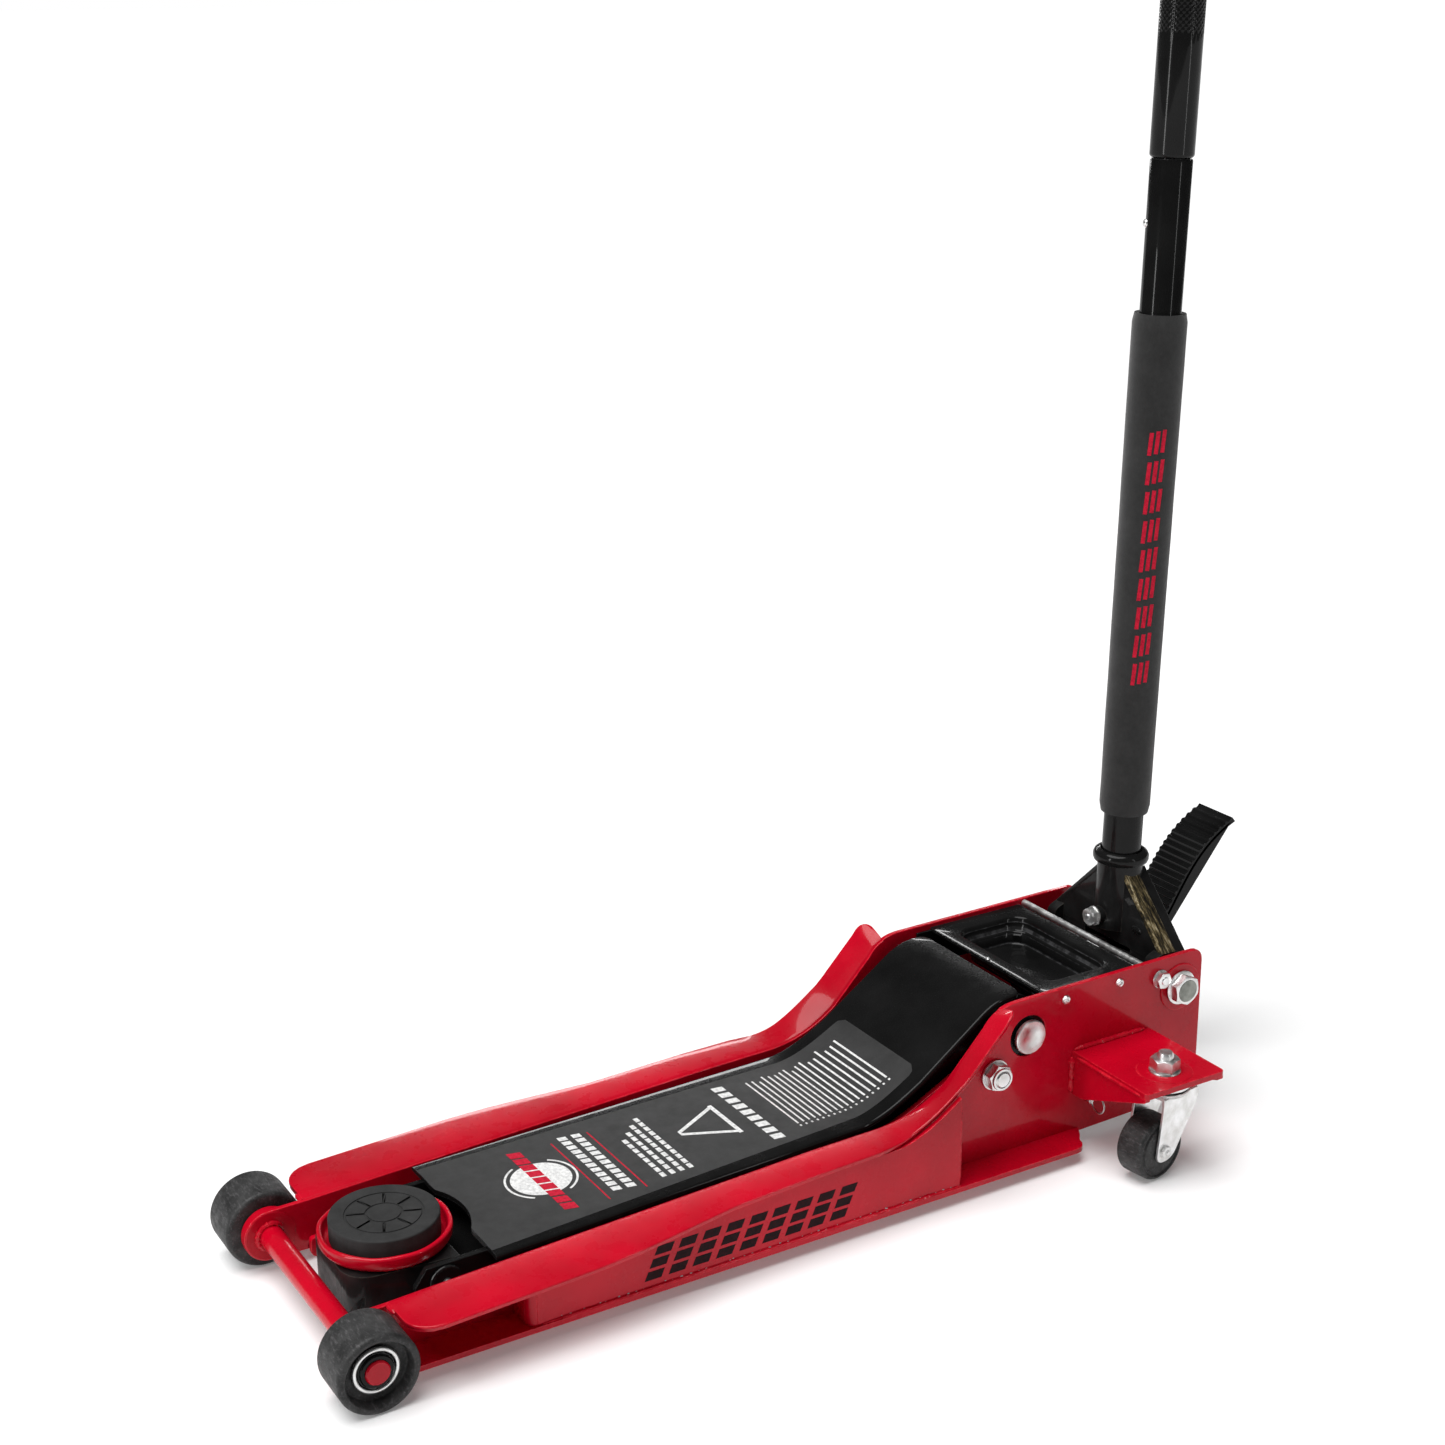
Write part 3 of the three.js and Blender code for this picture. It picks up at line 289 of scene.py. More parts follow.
def weld_bead(points, radius=2.6, seed=0.0):
    """A lumpy fillet of weld along points."""
    dense = []
    points = [Vector(p) for p in points]
    for a, b in zip(points, points[1:]):
        steps = max(2, int((b - a).length / BEAD_STEP))
        dense += [a.lerp(b, k / steps) for k in range(steps)]
    dense.append(points[-1])
    length = BEAD_STEP * len(dense)

    def size(share):
        ripple = 0.14 * math.sin(share * length * 1.5 + seed)
        lump = 0.22 * noise.noise(Vector((share * length * 0.12, seed, 0)))
        taper = min(1.0, 8 * share + 0.35, 8 * (1 - share) + 0.35)
        return radius * (1 + ripple + lump) * taper

    return sweep(dense, size, 9)


def merged(*meshes):
    """Several solids as one mesh."""
    total = bmesh.new()
    for part in meshes:
        data = bpy.data.meshes.new("part")
        part.to_mesh(data)
        part.free()
        total.from_mesh(data)
        bpy.data.meshes.remove(data)
    return total


def moved(mesh, matrix):
    mesh.transform(matrix)
    if matrix.determinant() < 0:
        bmesh.ops.reverse_faces(mesh, faces=mesh.faces)
    return mesh


def on_side(mesh, side):
    """The mesh as made for the right-hand side, or its mirror image."""
    return mesh if side > 0 else moved(mesh, Matrix.Scale(-1, 4, (1, 0, 0)))


def temporary(mesh):
    data = bpy.data.meshes.new("temporary")
    mesh.to_mesh(data)
    mesh.free()
    obj = bpy.data.objects.new("temporary", data)
    bpy.context.scene.collection.objects.link(obj)
    return obj


def boolean(base, tools, operation="DIFFERENCE"):
    """The base with each tool cut from it or joined to it."""
    target = temporary(base)
    others = [temporary(tool) for tool in tools]
    for other in others:
        step = target.modifiers.new("step", "BOOLEAN")
        step.object = other
        step.operation = operation
        step.solver = "EXACT"
    result = bmesh.new()
    evaluated = target.evaluated_get(bpy.context.evaluated_depsgraph_get())
    result.from_mesh(evaluated.to_mesh())
    evaluated.to_mesh_clear()
    for obj in (target, *others):
        data = obj.data
        bpy.data.objects.remove(obj)
        bpy.data.meshes.remove(data)
    bmesh.ops.dissolve_degenerate(result, edges=result.edges, dist=0.001)
    return result


def piece(name, mesh, finish, *nodes, body="chassis", place=TO_FRAME, bevel=0.0, smooth=True):
    """Puts a mesh in the scene as a piece that rides on a body and stands for CAD nodes. A finish
    is a material and its slot, and the slot is not used. The bevel is in millimetres."""
    material, slot = finish
    mesh.transform(place)
    data = bpy.data.meshes.new(name)
    mesh.to_mesh(data)
    mesh.free()
    obj = bpy.data.objects.new(name, data)
    bpy.context.scene.collection.objects.link(obj)
    data.materials.append(material)
    data.polygons.foreach_set("use_smooth", [smooth] * len(data.polygons))
    if bevel:
        edge = obj.modifiers.new("edge", "BEVEL")
        edge.width = bevel / 1000
        edge.segments = 2
        edge.limit_method = "ANGLE"
        edge.angle_limit = math.radians(32)
        edge.harden_normals = True
        edge.use_clamp_overlap = True
    elif smooth:
        data.set_sharp_from_angle(angle=math.radians(38))
    if body:
        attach(obj, body)
    if nodes:
        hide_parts(*nodes)
    return obj


# ---- finishes


def side_piece(side, stem, mesh, finish, *stems, body="chassis", **options):
    """A piece on one side, from a mesh made for the right-hand side. The side's name is added to
    its own name, to its CAD nodes' names, and to the body's name where that has braces."""
    name = SIDE_NAMES[side]
    nodes = [f"{node}_{name}" for node in stems]
    body = body.format(name)
    return piece(f"{stem}_{name}", on_side(mesh, side), finish, *nodes, body=body, **options)


class Finish:
    """A node material whose detail is worked out from the piece's own coordinates, in metres."""

    def __init__(self, name, **settings):
        self.material = bpy.data.materials.new(name)
        self.material.use_nodes = True
        self.tree = self.material.node_tree
        self.shader = self.tree.nodes["Principled BSDF"]
        for socket, value in settings.items():
            self.shader.inputs[socket.replace("_", " ")].default_value = value
        self.place = self.node("ShaderNodeTexCoord").outputs["Object"]

    def node(self, kind, **settings):
        made = self.tree.nodes.new(kind)
        for key, value in settings.items():
            setattr(made, key, value)
        return made

    def feed(self, value, socket):
        """Links a socket's source to it, or sets it to a number or a colour."""
        if isinstance(value, bpy.types.NodeSocket):
            self.tree.links.new(value, socket)
        elif isinstance(value, tuple) and len(value) < len(socket.default_value):
            socket.default_value = (*value, 1)
        else:
            socket.default_value = value

    def stretched(self, scale):
        mapping = self.node("ShaderNodeMapping")
        self.feed(scale, mapping.inputs["Scale"])
        self.feed(self.place, mapping.inputs["Vector"])
        return mapping.outputs["Vector"]

    def noise(self, scale, detail=4.0, roughness=0.55, vector=None):
        made = self.node("ShaderNodeTexNoise")
        self.feed(scale, made.inputs["Scale"])
        self.feed(detail, made.inputs["Detail"])
        self.feed(roughness, made.inputs["Roughness"])
        self.feed(vector or self.place, made.inputs["Vector"])
        return made.outputs["Fac"]

    def cells(self, scale):
        made = self.node("ShaderNodeTexVoronoi", feature="F1")
        self.feed(scale, made.inputs["Scale"])
        self.feed(self.place, made.inputs["Vector"])
        return made.outputs["Distance"]

    def ramp(self, source, *stops):
        """Maps a value through (position, grey or colour) stops."""
        made = self.node("ShaderNodeValToRGB")
        elements = made.color_ramp.elements
        while len(elements) < len(stops):
            elements.new(1.0)
        for element, (position, colour) in zip(elements, stops):
            element.position = position
            element.color = (*(colour if isinstance(colour, tuple) else [colour] * 3), 1)
        self.feed(source, made.inputs["Fac"])
        return made.outputs["Color"]

    def mix(self, factor, a, b):
        made = self.node("ShaderNodeMix", data_type="RGBA")
        self.feed(factor, made.inputs["Factor"])
        self.feed(a, made.inputs["A"])
        self.feed(b, made.inputs["B"])
        return made.outputs["Result"]

    def calculate(self, operation, a, b):
        made = self.node("ShaderNodeMath", operation=operation)
        self.feed(a, made.inputs[0])
        self.feed(b, made.inputs[1])
        return made.outputs["Value"]

    def edges(self, radius, low=0.06, high=0.3):
        """A painted edge highlight: bright where the surface turns sharply within a radius in millimetres,
        broken by noise.
        """
        soft = self.node("ShaderNodeBevel", samples=4)
        soft.inputs["Radius"].default_value = radius / 1000
        product = self.node("ShaderNodeVectorMath", operation="DOT_PRODUCT")
        self.feed(soft.outputs["Normal"], product.inputs[0])
        self.feed(self.node("ShaderNodeNewGeometry").outputs["Normal"], product.inputs[1])
        turned = self.calculate("SUBTRACT", 1.0, product.outputs["Value"])
        mask = self.ramp(turned, (low * 0.3, 0.0), (high * 0.3, 1.0))
        broken = self.ramp(self.noise(120, 5), (0.42, 0.15), (0.62, 1.0))
        return self.calculate("MULTIPLY", mask, broken)

    def done(self, colour, rough, *layers):
        """The finished material, from a colour, a roughness of (pattern, low, high) and bump
        layers of (pattern, strength, depth in millimetres)."""
        self.feed(colour, self.shader.inputs["Base Color"])
        pattern, low, high = rough
        self.feed(self.ramp(pattern, (0.3, low), (0.7, high)), self.shader.inputs["Roughness"])
        target = self.shader.inputs["Normal"]
        for pattern, strength, depth in reversed(layers):
            made = self.node("ShaderNodeBump")
            self.feed(strength, made.inputs["Strength"])
            self.feed(depth / 1000, made.inputs["Distance"])
            self.feed(pattern, made.inputs["Height"])
            self.feed(made.outputs["Normal"], target)
            target = made.inputs["Normal"]
        return self.material


def red_paint():
    f = Finish("red_paint", Coat_Weight=0.3, Coat_Roughness=0.06, Specular_IOR_Level=0.1)
    clouds = f.ramp(f.noise(9, 3), (0.3, (0.36, 0.0006, 0.009)), (0.7, (0.56, 0.0012, 0.017)))
    # The lighter pink along sharp edges is a painted edge highlight.
    edge_highlit = f.mix(f.edges(1.6), clouds, (0.80, 0.03, 0.05))
    specks = f.ramp(f.noise(420, 2), (0.74, 0.0), (0.8, 0.5))
    colour = f.mix(specks, edge_highlit, (0.80, 0.10, 0.10))
    grain, waves = (f.noise(330, 2), 0.22, 0.25), (f.noise(26, 2), 0.25, 0.5)
    return f.done(colour, (f.noise(60, 5), 0.22, 0.36), grain, waves)


def black_paint():
    f = Finish("black_paint", Coat_Weight=0.25, Coat_Roughness=0.03, Specular_IOR_Level=0.03)
    base = f.ramp(f.noise(14, 3), (0.3, 0.004), (0.7, 0.009))
    # The grey along sharp edges is a painted edge highlight.
    colour = f.mix(f.edges(1.2, 0.1, 0.5), base, (0.05, 0.05, 0.052))
    grain, waves = (f.noise(300, 2), 0.2, 0.25), (f.noise(22, 2), 0.2, 0.5)
    return f.done(colour, (f.noise(70, 5), 0.16, 0.34), grain, waves)


def black_cover():
    f = Finish("black_cover", Specular_IOR_Level=0.3)
    base = f.ramp(f.noise(30, 6, 0.7), (0.3, 0.020), (0.7, 0.031))
    scuff = f.ramp(f.noise(1.0, 6, 0.7, f.stretched((900, 60, 60))), (0.62, 0.0), (0.75, 0.25))
    colour = f.mix(scuff, base, (0.06, 0.06, 0.061))
    grain, waves = (f.noise(900, 3), 0.25, 0.12), (f.noise(12, 2), 0.12, 0.8)
    return f.done(colour, (f.noise(90, 5), 0.42, 0.56), grain, waves)


def zinc():
    f = Finish("zinc", Metallic=1.0)
    colour = f.ramp(f.noise(90, 5), (0.3, (0.60, 0.60, 0.58)), (0.7, (0.84, 0.84, 0.85)))
    return f.done(colour, (f.noise(160, 5), 0.26, 0.48), (f.noise(700, 3), 0.12, 0.15))


def dull_zinc():
    f = Finish("dull_zinc", Metallic=1.0)
    colour = f.ramp(f.noise(60, 6), (0.3, (0.14, 0.145, 0.13)), (0.7, (0.36, 0.37, 0.34)))
    return f.done(colour, (f.noise(160, 5), 0.24, 0.45), (f.noise(700, 3), 0.15, 0.15))


def bare_steel():
    f = Finish("bare_steel", Metallic=1.0)
    colour = f.ramp(f.noise(80, 5), (0.3, (0.30, 0.30, 0.31)), (0.7, (0.52, 0.52, 0.53)))
    drawn = f.noise(1.0, 4, 0.6, f.stretched((2600, 300, 300)))
    return f.done(colour, (drawn, 0.24, 0.42), (f.noise(900, 3), 0.1, 0.1))


def chrome():
    f = Finish("chrome", Metallic=1.0)
    colour = f.ramp(f.noise(40, 3), (0.3, 0.70), (0.7, 0.82))
    return f.done(colour, (f.noise(120, 4), 0.06, 0.14), (f.noise(500, 2), 0.04, 0.05))


def black_casting():
    f = Finish("black_casting", Coat_Weight=0.25, Coat_Roughness=0.08, Specular_IOR_Level=0.06)
    base = f.ramp(f.noise(35, 5), (0.3, 0.006), (0.7, 0.016))
    # The grey along sharp edges is a painted edge highlight.
    colour = f.mix(f.edges(1.4, 0.1, 0.5), base, (0.07, 0.065, 0.055))
    grain, waves = (f.noise(240, 5, 0.7), 0.5, 0.4), (f.noise(40, 3), 0.3, 0.8)
    return f.done(colour, (f.noise(110, 5), 0.3, 0.55), grain, waves)


def worn_and_glinting_casting():
    f = Finish("worn_and_glinting_casting", Metallic=0.55)
    # Brassy mottle: partly worn paint, partly a painted reflection for the glints on the rough casting.
    colour = f.ramp(
        f.noise(1.0, 6, 0.75, f.stretched((60, 420, 60))),
        (0.42, (0.006, 0.005, 0.004)), (0.50, (0.06, 0.045, 0.018)),
        (0.58, (0.26, 0.20, 0.10)), (0.68, (0.75, 0.68, 0.48)),
    )
    return f.done(colour, (f.noise(200, 5), 0.3, 0.6), (f.noise(260, 5, 0.7), 0.7, 0.5))


def saddle_rubber():
    f = Finish("saddle_rubber", Specular_IOR_Level=0.25)
    colour = f.ramp(f.noise(40, 6, 0.7), (0.3, 0.016), (0.7, 0.030))
    grain, waves = (f.noise(800, 4), 0.4, 0.15), (f.noise(60, 3), 0.2, 0.4)
    return f.done(colour, (f.noise(90, 5), 0.58, 0.78), grain, waves)


def wheel_nylon():
    f = Finish("wheel_nylon", Specular_IOR_Level=0.35)
    base = f.ramp(f.noise(60, 6, 0.75), (0.34, 0.006), (0.66, 0.034))
    scuffs = f.ramp(f.noise(1.0, 6, 0.78, f.stretched((140, 420, 420))), (0.52, 0.0), (0.68, 0.75))
    colour = f.mix(scuffs, base, (0.095, 0.090, 0.094))
    grain, waves = (f.noise(420, 5, 0.7), 0.5, 0.25), (f.noise(45, 3), 0.25, 0.6)
    return f.done(colour, (f.noise(130, 5), 0.42, 0.72), grain, waves)


def foam():
    f = Finish("foam", Specular_IOR_Level=0.2, Sheen_Weight=0.25, Sheen_Roughness=0.5)
    colour = f.ramp(f.noise(30, 6, 0.7), (0.3, 0.014), (0.7, 0.026))
    grain, waves = (f.cells(1500), 0.5, 0.2), (f.noise(26, 2), 0.25, 1.0)
    return f.done(colour, (f.noise(200, 4), 0.7, 0.88), grain, waves)


def print_ink(name, light, dark):
    """Screen-printed ink, thin in places so that it looks slightly rubbed."""
    f = Finish(name, Specular_IOR_Level=0.1)
    colour = f.ramp(f.noise(300, 5, 0.7), (0.3, dark), (0.6, light))
    return f.done(colour, (f.noise(200, 4), 0.45, 0.65), (f.noise(900, 3), 0.15, 0.05))


RED = (red_paint(), "red_paint")
BLACK = (black_paint(), "black_paint")
GLOSSY_COVER = (BLACK[0], "black_cover")
COVER = (black_cover(), "black_cover")
ZINC = (zinc(), "zinc")
DULL_ZINC = (dull_zinc(), "zinc")
STEEL = (bare_steel(), "bare_steel")
CHROME = (chrome(), "chrome")
CASTING = (black_casting(), "black_casting")
WORN_AND_GLINTING = (worn_and_glinting_casting(), "black_casting")
RUBBER = (saddle_rubber(), "saddle_rubber")
WHEEL = (wheel_nylon(), "wheel")
FOAM = (foam(), "foam")
WHITE_INK = (print_ink("white_ink", (0.78, 0.78, 0.77), (0.45, 0.45, 0.45)), "black_cover")
RED_INK = (print_ink("red_ink", (0.56, 0.010, 0.035), (0.30, 0.004, 0.02)), "black_cover")
SLEEVE_INK = (RED_INK[0], "foam")
BLACK_INK = (print_ink("black_ink", (0.008, 0.003, 0.004), (0.030, 0.002, 0.005)), "red_paint")


# ---- side rails


def rail_top_edge(steps=14):
    """Points (y, z) along the top edge of a side rail."""
    edge = [(28 + 402 * i / 16, 60 + 18 * i / 16) for i in range(16)]
    edge += [(430, 78), (455, 78.5), (480, 79.1)]
    edge += bezier((500, 79.5), (530, 80.5), (553, 88), (578, 107), steps)
    edge += [(588, 117.5), (598, 128), (608, 138.5)]
    edge += bezier((618, 149), (626, 161), (638, 166.7), (656, 166.5), steps)
    return edge


def height_at(edge, y):
    for (y0, z0), (y1, z1) in zip(edge, edge[1:]):
        if y0 <= y <= y1:
            return z0 + (z1 - z0) * (y - y0) / (y1 - y0)
    return edge[-1][1]


def smoothstep(value, low, high):
    t = min(max((value - low) / (high - low), 0.0), 1.0)
    return t * t * (3 - 2 * t)


def flange_lean(y):
    """How far the top flange tilts, as rise over width. It is level along the front."""
    return LEAN * smoothstep(y, 500, 575)


def flange_outer(y):
    """How far from the centre plane the top flange reaches."""
    front, rear = 31, 634
    outline = [(front, 148), (195, 148), (235, 145.2), (330, 132), (480, 129), (525, 123), (rear, 122)]
    for (y0, x0), (y1, x1) in zip(outline, outline[1:]):
        if y0 <= y <= y1:
            outer = x0 + (x1 - x0) * (y - y0) / (y1 - y0)
            break
    if y < front + 26:
        outer -= 26 - math.sqrt(max(26**2 - (front + 26 - y) ** 2, 0))
    if y > rear - 12:
        outer -= 12 - math.sqrt(max(12**2 - (y - rear + 12) ** 2, 0))
    return outer


def make_flange():
    """The top flange of the right-hand rail, with a bent inner edge and a leaning free edge."""
    edge = rail_top_edge()
    stations = [31, 31.4, 32.5, 34.5, 37.5, 42, 48, 57] + [70 + 20 * i for i in range(21)]
    stations += [480 + 6 * i for i in range(24)] + [622, 624.5, 627, 629.5, 631.5, 633, 633.8, 634]
    rings = []
    for y in stations:
        z = height_at(edge, y)
        slope = (height_at(edge, y + 1) - height_at(edge, y - 1)) / 2
        normal = Vector((0, -slope, 1)).normalized()
        outer = max(flange_outer(y), RAIL_INNER + 9)
        lean = flange_lean(y)
        section = arc((RAIL_INNER + 5, -5), 5, 180, 90, 5)
        section += [(outer - 1.5, 0)] + arc((outer - 1.5, -1.5), 1.5, 70, -70, 4)
        section += [(outer - 1.5, -FLANGE + 1), (RAIL_OUTER + 3, -FLANGE + 1)]
        section += [(RAIL_INNER + 0.2, -FLANGE - 3)]
        ring = []
        for x, rise in section:
            lift = (x - RAIL_INNER) * lean
            ring.append(Vector((x, y, z + lift)) + normal * rise)
        rings.append(ring)
    return loft(rings)


def make_web():
    """The upright plate of the right-hand rail, with the hole that the main pivot sits in."""
    outline = arc((0, AXLE_Z), 23.5, 262, 98, 24)
    outline += [(y, z - 1.2 if y < 636 else z) for y, z in rail_top_edge()]
    outline += [(700, 167), (760, 167.5), (820, 168.1)]
    outline += rounded([(820, 168.1, 0), (876, 168.5, 14), (876, 34, 4), (856, 12, 4)], 8)[1:]
    outline += [(700, 12), (300, 12)]
    web = prism(outline, RAIL_INNER, RAIL_OUTER)
    pivot_hole = rod(20, RAIL_INNER - 3, RAIL_OUTER + 3, centre=(0, MAIN.y, MAIN.z), segments=64)
    return boolean(web, [pivot_hole])


def make_lip():
    plan = rounded([
        (RAIL_INNER, 32.5, 0), (128.5, 32.5, 10), (128.5, 715, 12), (116, 716, 5),
        (108, 724, 6), (RAIL_INNER, 733, 0),
    ])
    return prism(plan, 12, 17, "z")


def make_side_cover():
    """The plate that closes the channel, bent in at its front end."""
    edge = rail_top_edge()
    front, rear, bottom = 146, 570, 17.2
    top = []
    for i in range(40):
        y = front + i * (rear - front) / 39
        slope = (height_at(edge, y + 1) - height_at(edge, y - 1)) / 2
        drop = (FLANGE - 0.6) * math.sqrt(1 + slope**2)
        top.append((y, height_at(edge, y) - drop + 30 * flange_lean(y)))
    plate = prism(top + [(rear, bottom), (front, bottom)], 121.5, 126.5)
    corner = (118.5, front)
    bend = arc(corner, 8, 0, -90, 8) + arc(corner, 3, -90, 0, 8)
    fold = prism(bend, bottom, height_at(edge, 142) - FLANGE + 0.6, "z")
    end = box((97, 118.6), (138, 143), (bottom, height_at(edge, 140) - FLANGE + 0.6))
    return merged(plate, fold, end)


def make_axle_collar():
    profile = [(11.2, 90.6), (22.2, 90.6), (23.5, 92), (23.5, 100.4), (22.3, 101.6), (11.2, 101.6)]
    return lathe(profile, "x", AXLE_AXIS, 64)


def make_rail_welds():
    """Beads where the axle, the cover and the rail's own plates meet."""
    edge = rail_top_edge()
    outer_ring = [(96.5, y, z) for y, z in arc((0, AXLE_Z), 11.6, 0, 330, 20)]
    inner_ring = [(90.5, y, z) for y, z in arc((0, AXLE_Z), 11.8, 20, 350, 20)]
    lip_line = [(127, y, 17.6) for y in range(150, 571, 30)]
    rear_line = [(124, 571.2, z) for z in range(19, 98, 13)]
    nose = [(x, 31, height_at(edge, 31) - 3) for x in range(92, 112, 4)]
    return merged(
        weld_bead(outer_ring, 2.4, 1.0), weld_bead(inner_ring, 2.8, 2.0),
        weld_bead(lip_line, 1.5, 3.0), weld_bead(rear_line, 1.3, 4.0), weld_bead(nose, 2.6, 5.0),
    )


def make_weld_spatter():
    """Beads of bare spatter left along the lower weld."""
    drops = []
    for i in range(46):
        y = 168 + 8.7 * i + 5 * noise.noise(Vector((i * 3.1, 0.5, 0)))
        z = 18.4 + 2.2 * abs(noise.noise(Vector((i * 1.7, 4.5, 0))))
        size = 0.35 + 0.8 * abs(noise.noise(Vector((i * 2.3, 9.5, 0))))
        drop = bmesh.new()
        bmesh.ops.create_icosphere(drop, subdivisions=2, radius=size)
        flattened = Matrix.Translation((126.6, y, z)) @ Matrix.Diagonal((0.6, 1.8, 1, 1))
        drops.append(moved(drop, flattened))
    return merged(*drops)


def build_rails():
    for side in SIDES:
        side_piece(side, "rail_web", make_web(), RED, "side_rail", bevel=1.1)
        side_piece(side, "rail_flange", make_flange(), RED)
        side_piece(side, "rail_lip", make_lip(), RED, bevel=1.2)
        side_piece(side, "rail_cover", make_side_cover(), RED, "side_cover", bevel=0.8)
        side_piece(side, "axle_collar", make_axle_collar(), RED, bevel=0.5)
        side_piece(side, "rail_welds", make_rail_welds(), RED)
        side_piece(side, "weld_spatter", make_weld_spatter(), STEEL)


# ---- front axle and wheels


def build_front_axle():
    half = [(0, 146), (9.4, 146), (10.5, 144.8)]
    profile = [(radius, -x) for radius, x in half] + half[::-1]
    piece("axle_bar", lathe(profile, "x", AXLE_AXIS, 48), RED, "front_axle")


def make_front_wheel():
    """A solid roller whose outer face is recessed round its hub."""
    inner, outer, radius, shoulder = 102.8, 149.2, 35, 4.2
    recess, floor, hub, bore = 28.5, 137.5, 15.6, 10.9
    profile = [(bore, inner)]
    profile += arc((radius - shoulder, inner + shoulder), shoulder, -90, 0, 7)
    profile += arc((radius - shoulder, outer - shoulder), shoulder, 0, 90, 7)
    profile += [(recess + 1.6, outer), (recess + 0.4, outer - 0.5), (recess, outer - 1.6)]
    profile += [(recess - 1.2, floor + 1), (recess - 2.4, floor), (hub + 0.8, floor)]
    profile += [(hub, floor + 0.8), (hub, floor + 3), (hub - 0.8, floor + 3.6), (bore, floor + 3.6)]
    return lathe(profile, "x", AXLE_AXIS, 96)


def build_front_wheels():
    body = "front_wheel_{}"
    for side in SIDES:
        side_piece(side, "roller", make_front_wheel(), WHEEL, "front_wheel", body=body, bevel=0.35)
        ring = lathe(arc((18.2, 139.9), 2.1, 0, 330, 11), "x", AXLE_AXIS, 64)
        side_piece(side, "retaining_ring", ring, ZINC, "wheel_ring", body=body)
        section = [(10.9, 140), (14.6, 140), (14.6, 142.6), (13.6, 143.6), (10.9, 143.6)]
        side_piece(side, "hub_washer", lathe(section, "x", AXLE_AXIS, 48), BLACK, body=body)


# ---- lifting arm


def arm_top_edge():
    edge = [(130, 66), (160, 67), (220, 69), (280, 71), (340, 72.9), (400, 74.9), (450, 76.5)]
    edge += bezier((495, 78), (515, 79.5), (535, 90), (558, 103.3), 14)
    edge += [(581, 119.7), (604, 136)]
    edge += bezier((628, 153), (638, 160.1), (648.7, 163.8), (660, 164), 8)
    return edge + [(672, 164)]


PRINT_RISE = 0.24
COVER_FRONT = 130
COVER_REAR = 672
COVER_CROWN = ((0, 0.7), (0.45, 0.6), (0.8, 0.25), (0.97, 0.0), (1.0, -0.4))


def cover_half(y):
    """Half the arm cover's width."""
    return 86 - 8 * (y - COVER_FRONT) / (COVER_REAR - COVER_FRONT)


def cover_normal(y):
    edge = arm_top_edge()
    before, after = max(y - 1, COVER_FRONT), min(y + 1, COVER_REAR)
    slope = (height_at(edge, after) - height_at(edge, before)) / (after - before)
    return Vector((0, -slope, 1)).normalized()


def crown_left(y):
    """The crown dies away before the cover's rear edge, which has to pass under the tray."""
    return 1 - smoothstep(y, 585, 635)


def on_cover(x, y, rise):
    """A point that lies above the arm cover's crowned top."""
    share = abs(x) / cover_half(y)
    crown = height_at(COVER_CROWN, share) * crown_left(y)
    return Vector((x, y, height_at(arm_top_edge(), y))) + cover_normal(y) * (crown + rise)


def saddle_bay():
    """The round bay that the cover and its label leave for the saddle."""
    return rod(72, 40, 90, "z", SADDLE_CENTRE, 96)


def corner_inset(y, start, radius):
    """How far a plan outline draws in beyond start, to round its corner."""
    return radius - math.sqrt(max(radius**2 - (y - start) ** 2, 0)) if y > start else 0


def make_arm_cover():
    """The folded cover on the arm, with rounded long edges and a bay cut for the saddle."""
    stations = [130 + 10 * i for i in range(36)] + [486 + 4 * i for i in range(44)]
    stations += [662, 667, 671, 672]
    rings = []
    for y in stations:
        half = cover_half(y) - corner_inset(y, COVER_REAR - 8, 8)
        crown = crown_left(y)
        side = [(0.45 * half, 0.6 * crown), (0.8 * half, 0.25 * crown)]
        side += arc((half - 2.5, -2.5), 2.5, 90, 0, 5)
        side += [(half, -4), (half - 1.5, -4), (half * 0.5, -4)]
        section = [(0, 0.7 * crown)] + side + [(0, -4)] + [(-x, rise) for x, rise in reversed(side)]
        base = Vector((0, y, height_at(arm_top_edge(), y)))
        normal = cover_normal(y)
        rings.append([base + Vector((x, 0, 0)) + normal * rise for x, rise in section])
    return boolean(loft(rings), [saddle_bay()])


def make_label_sheet():
    """The thin matte sheet stuck on the arm cover, inside the cover's glossy margin."""
    rings = []
    for y in [130.4 + 8.6 * i for i in range(42)] + [490 + 4 * i for i in range(20)]:
        half = 77 - 15 * (y - 130) / 440 - corner_inset(y, 558, 8)
        across = [half * k / 8 for k in range(-8, 9)]
        ring = [on_cover(x, y, 0.14) for x in across]
        rings.append(ring + [on_cover(x, y, -0.3) for x in reversed(across)])
    return boolean(loft(rings), [saddle_bay()])


def label_strip(x0, x1, y0, y1, skew=0.0, rise=PRINT_RISE):
    """A printed mark on the label, between two x and two y values."""
    steps = max(1, int(abs(y1 - y0) / 4))
    columns = max(1, int(abs(x1 - x0) / 6))
    across = [x0 + (x1 - x0) * k / columns for k in range(columns + 1)]
    rings = []
    for k in range(steps + 1):
        y = y0 + (y1 - y0) * k / steps
        shift = skew * (y - y0)
        ring = [on_cover(x + shift, y, 0) for x in across]
        ring += [on_cover(x + shift, y, rise) for x in reversed(across)]
        rings.append(ring)
    return loft(rings)


def label_disc(centre, inner, outer, start, end):
    """A printed disc, or part of a ring, on the label."""
    rings = []
    steps = 64
    for k in range(steps + 1):
        angle = math.radians(start + (end - start) * k / steps)
        ring = []
        for radius, lift in ((inner, 0), (outer, 0), (outer, PRINT_RISE), (inner, PRINT_RISE)):
            x = centre[0] + radius * math.cos(angle)
            y = centre[1] + radius * math.sin(angle)
            ring.append(on_cover(x, y, lift))
        rings.append(ring)
    return loft(rings)


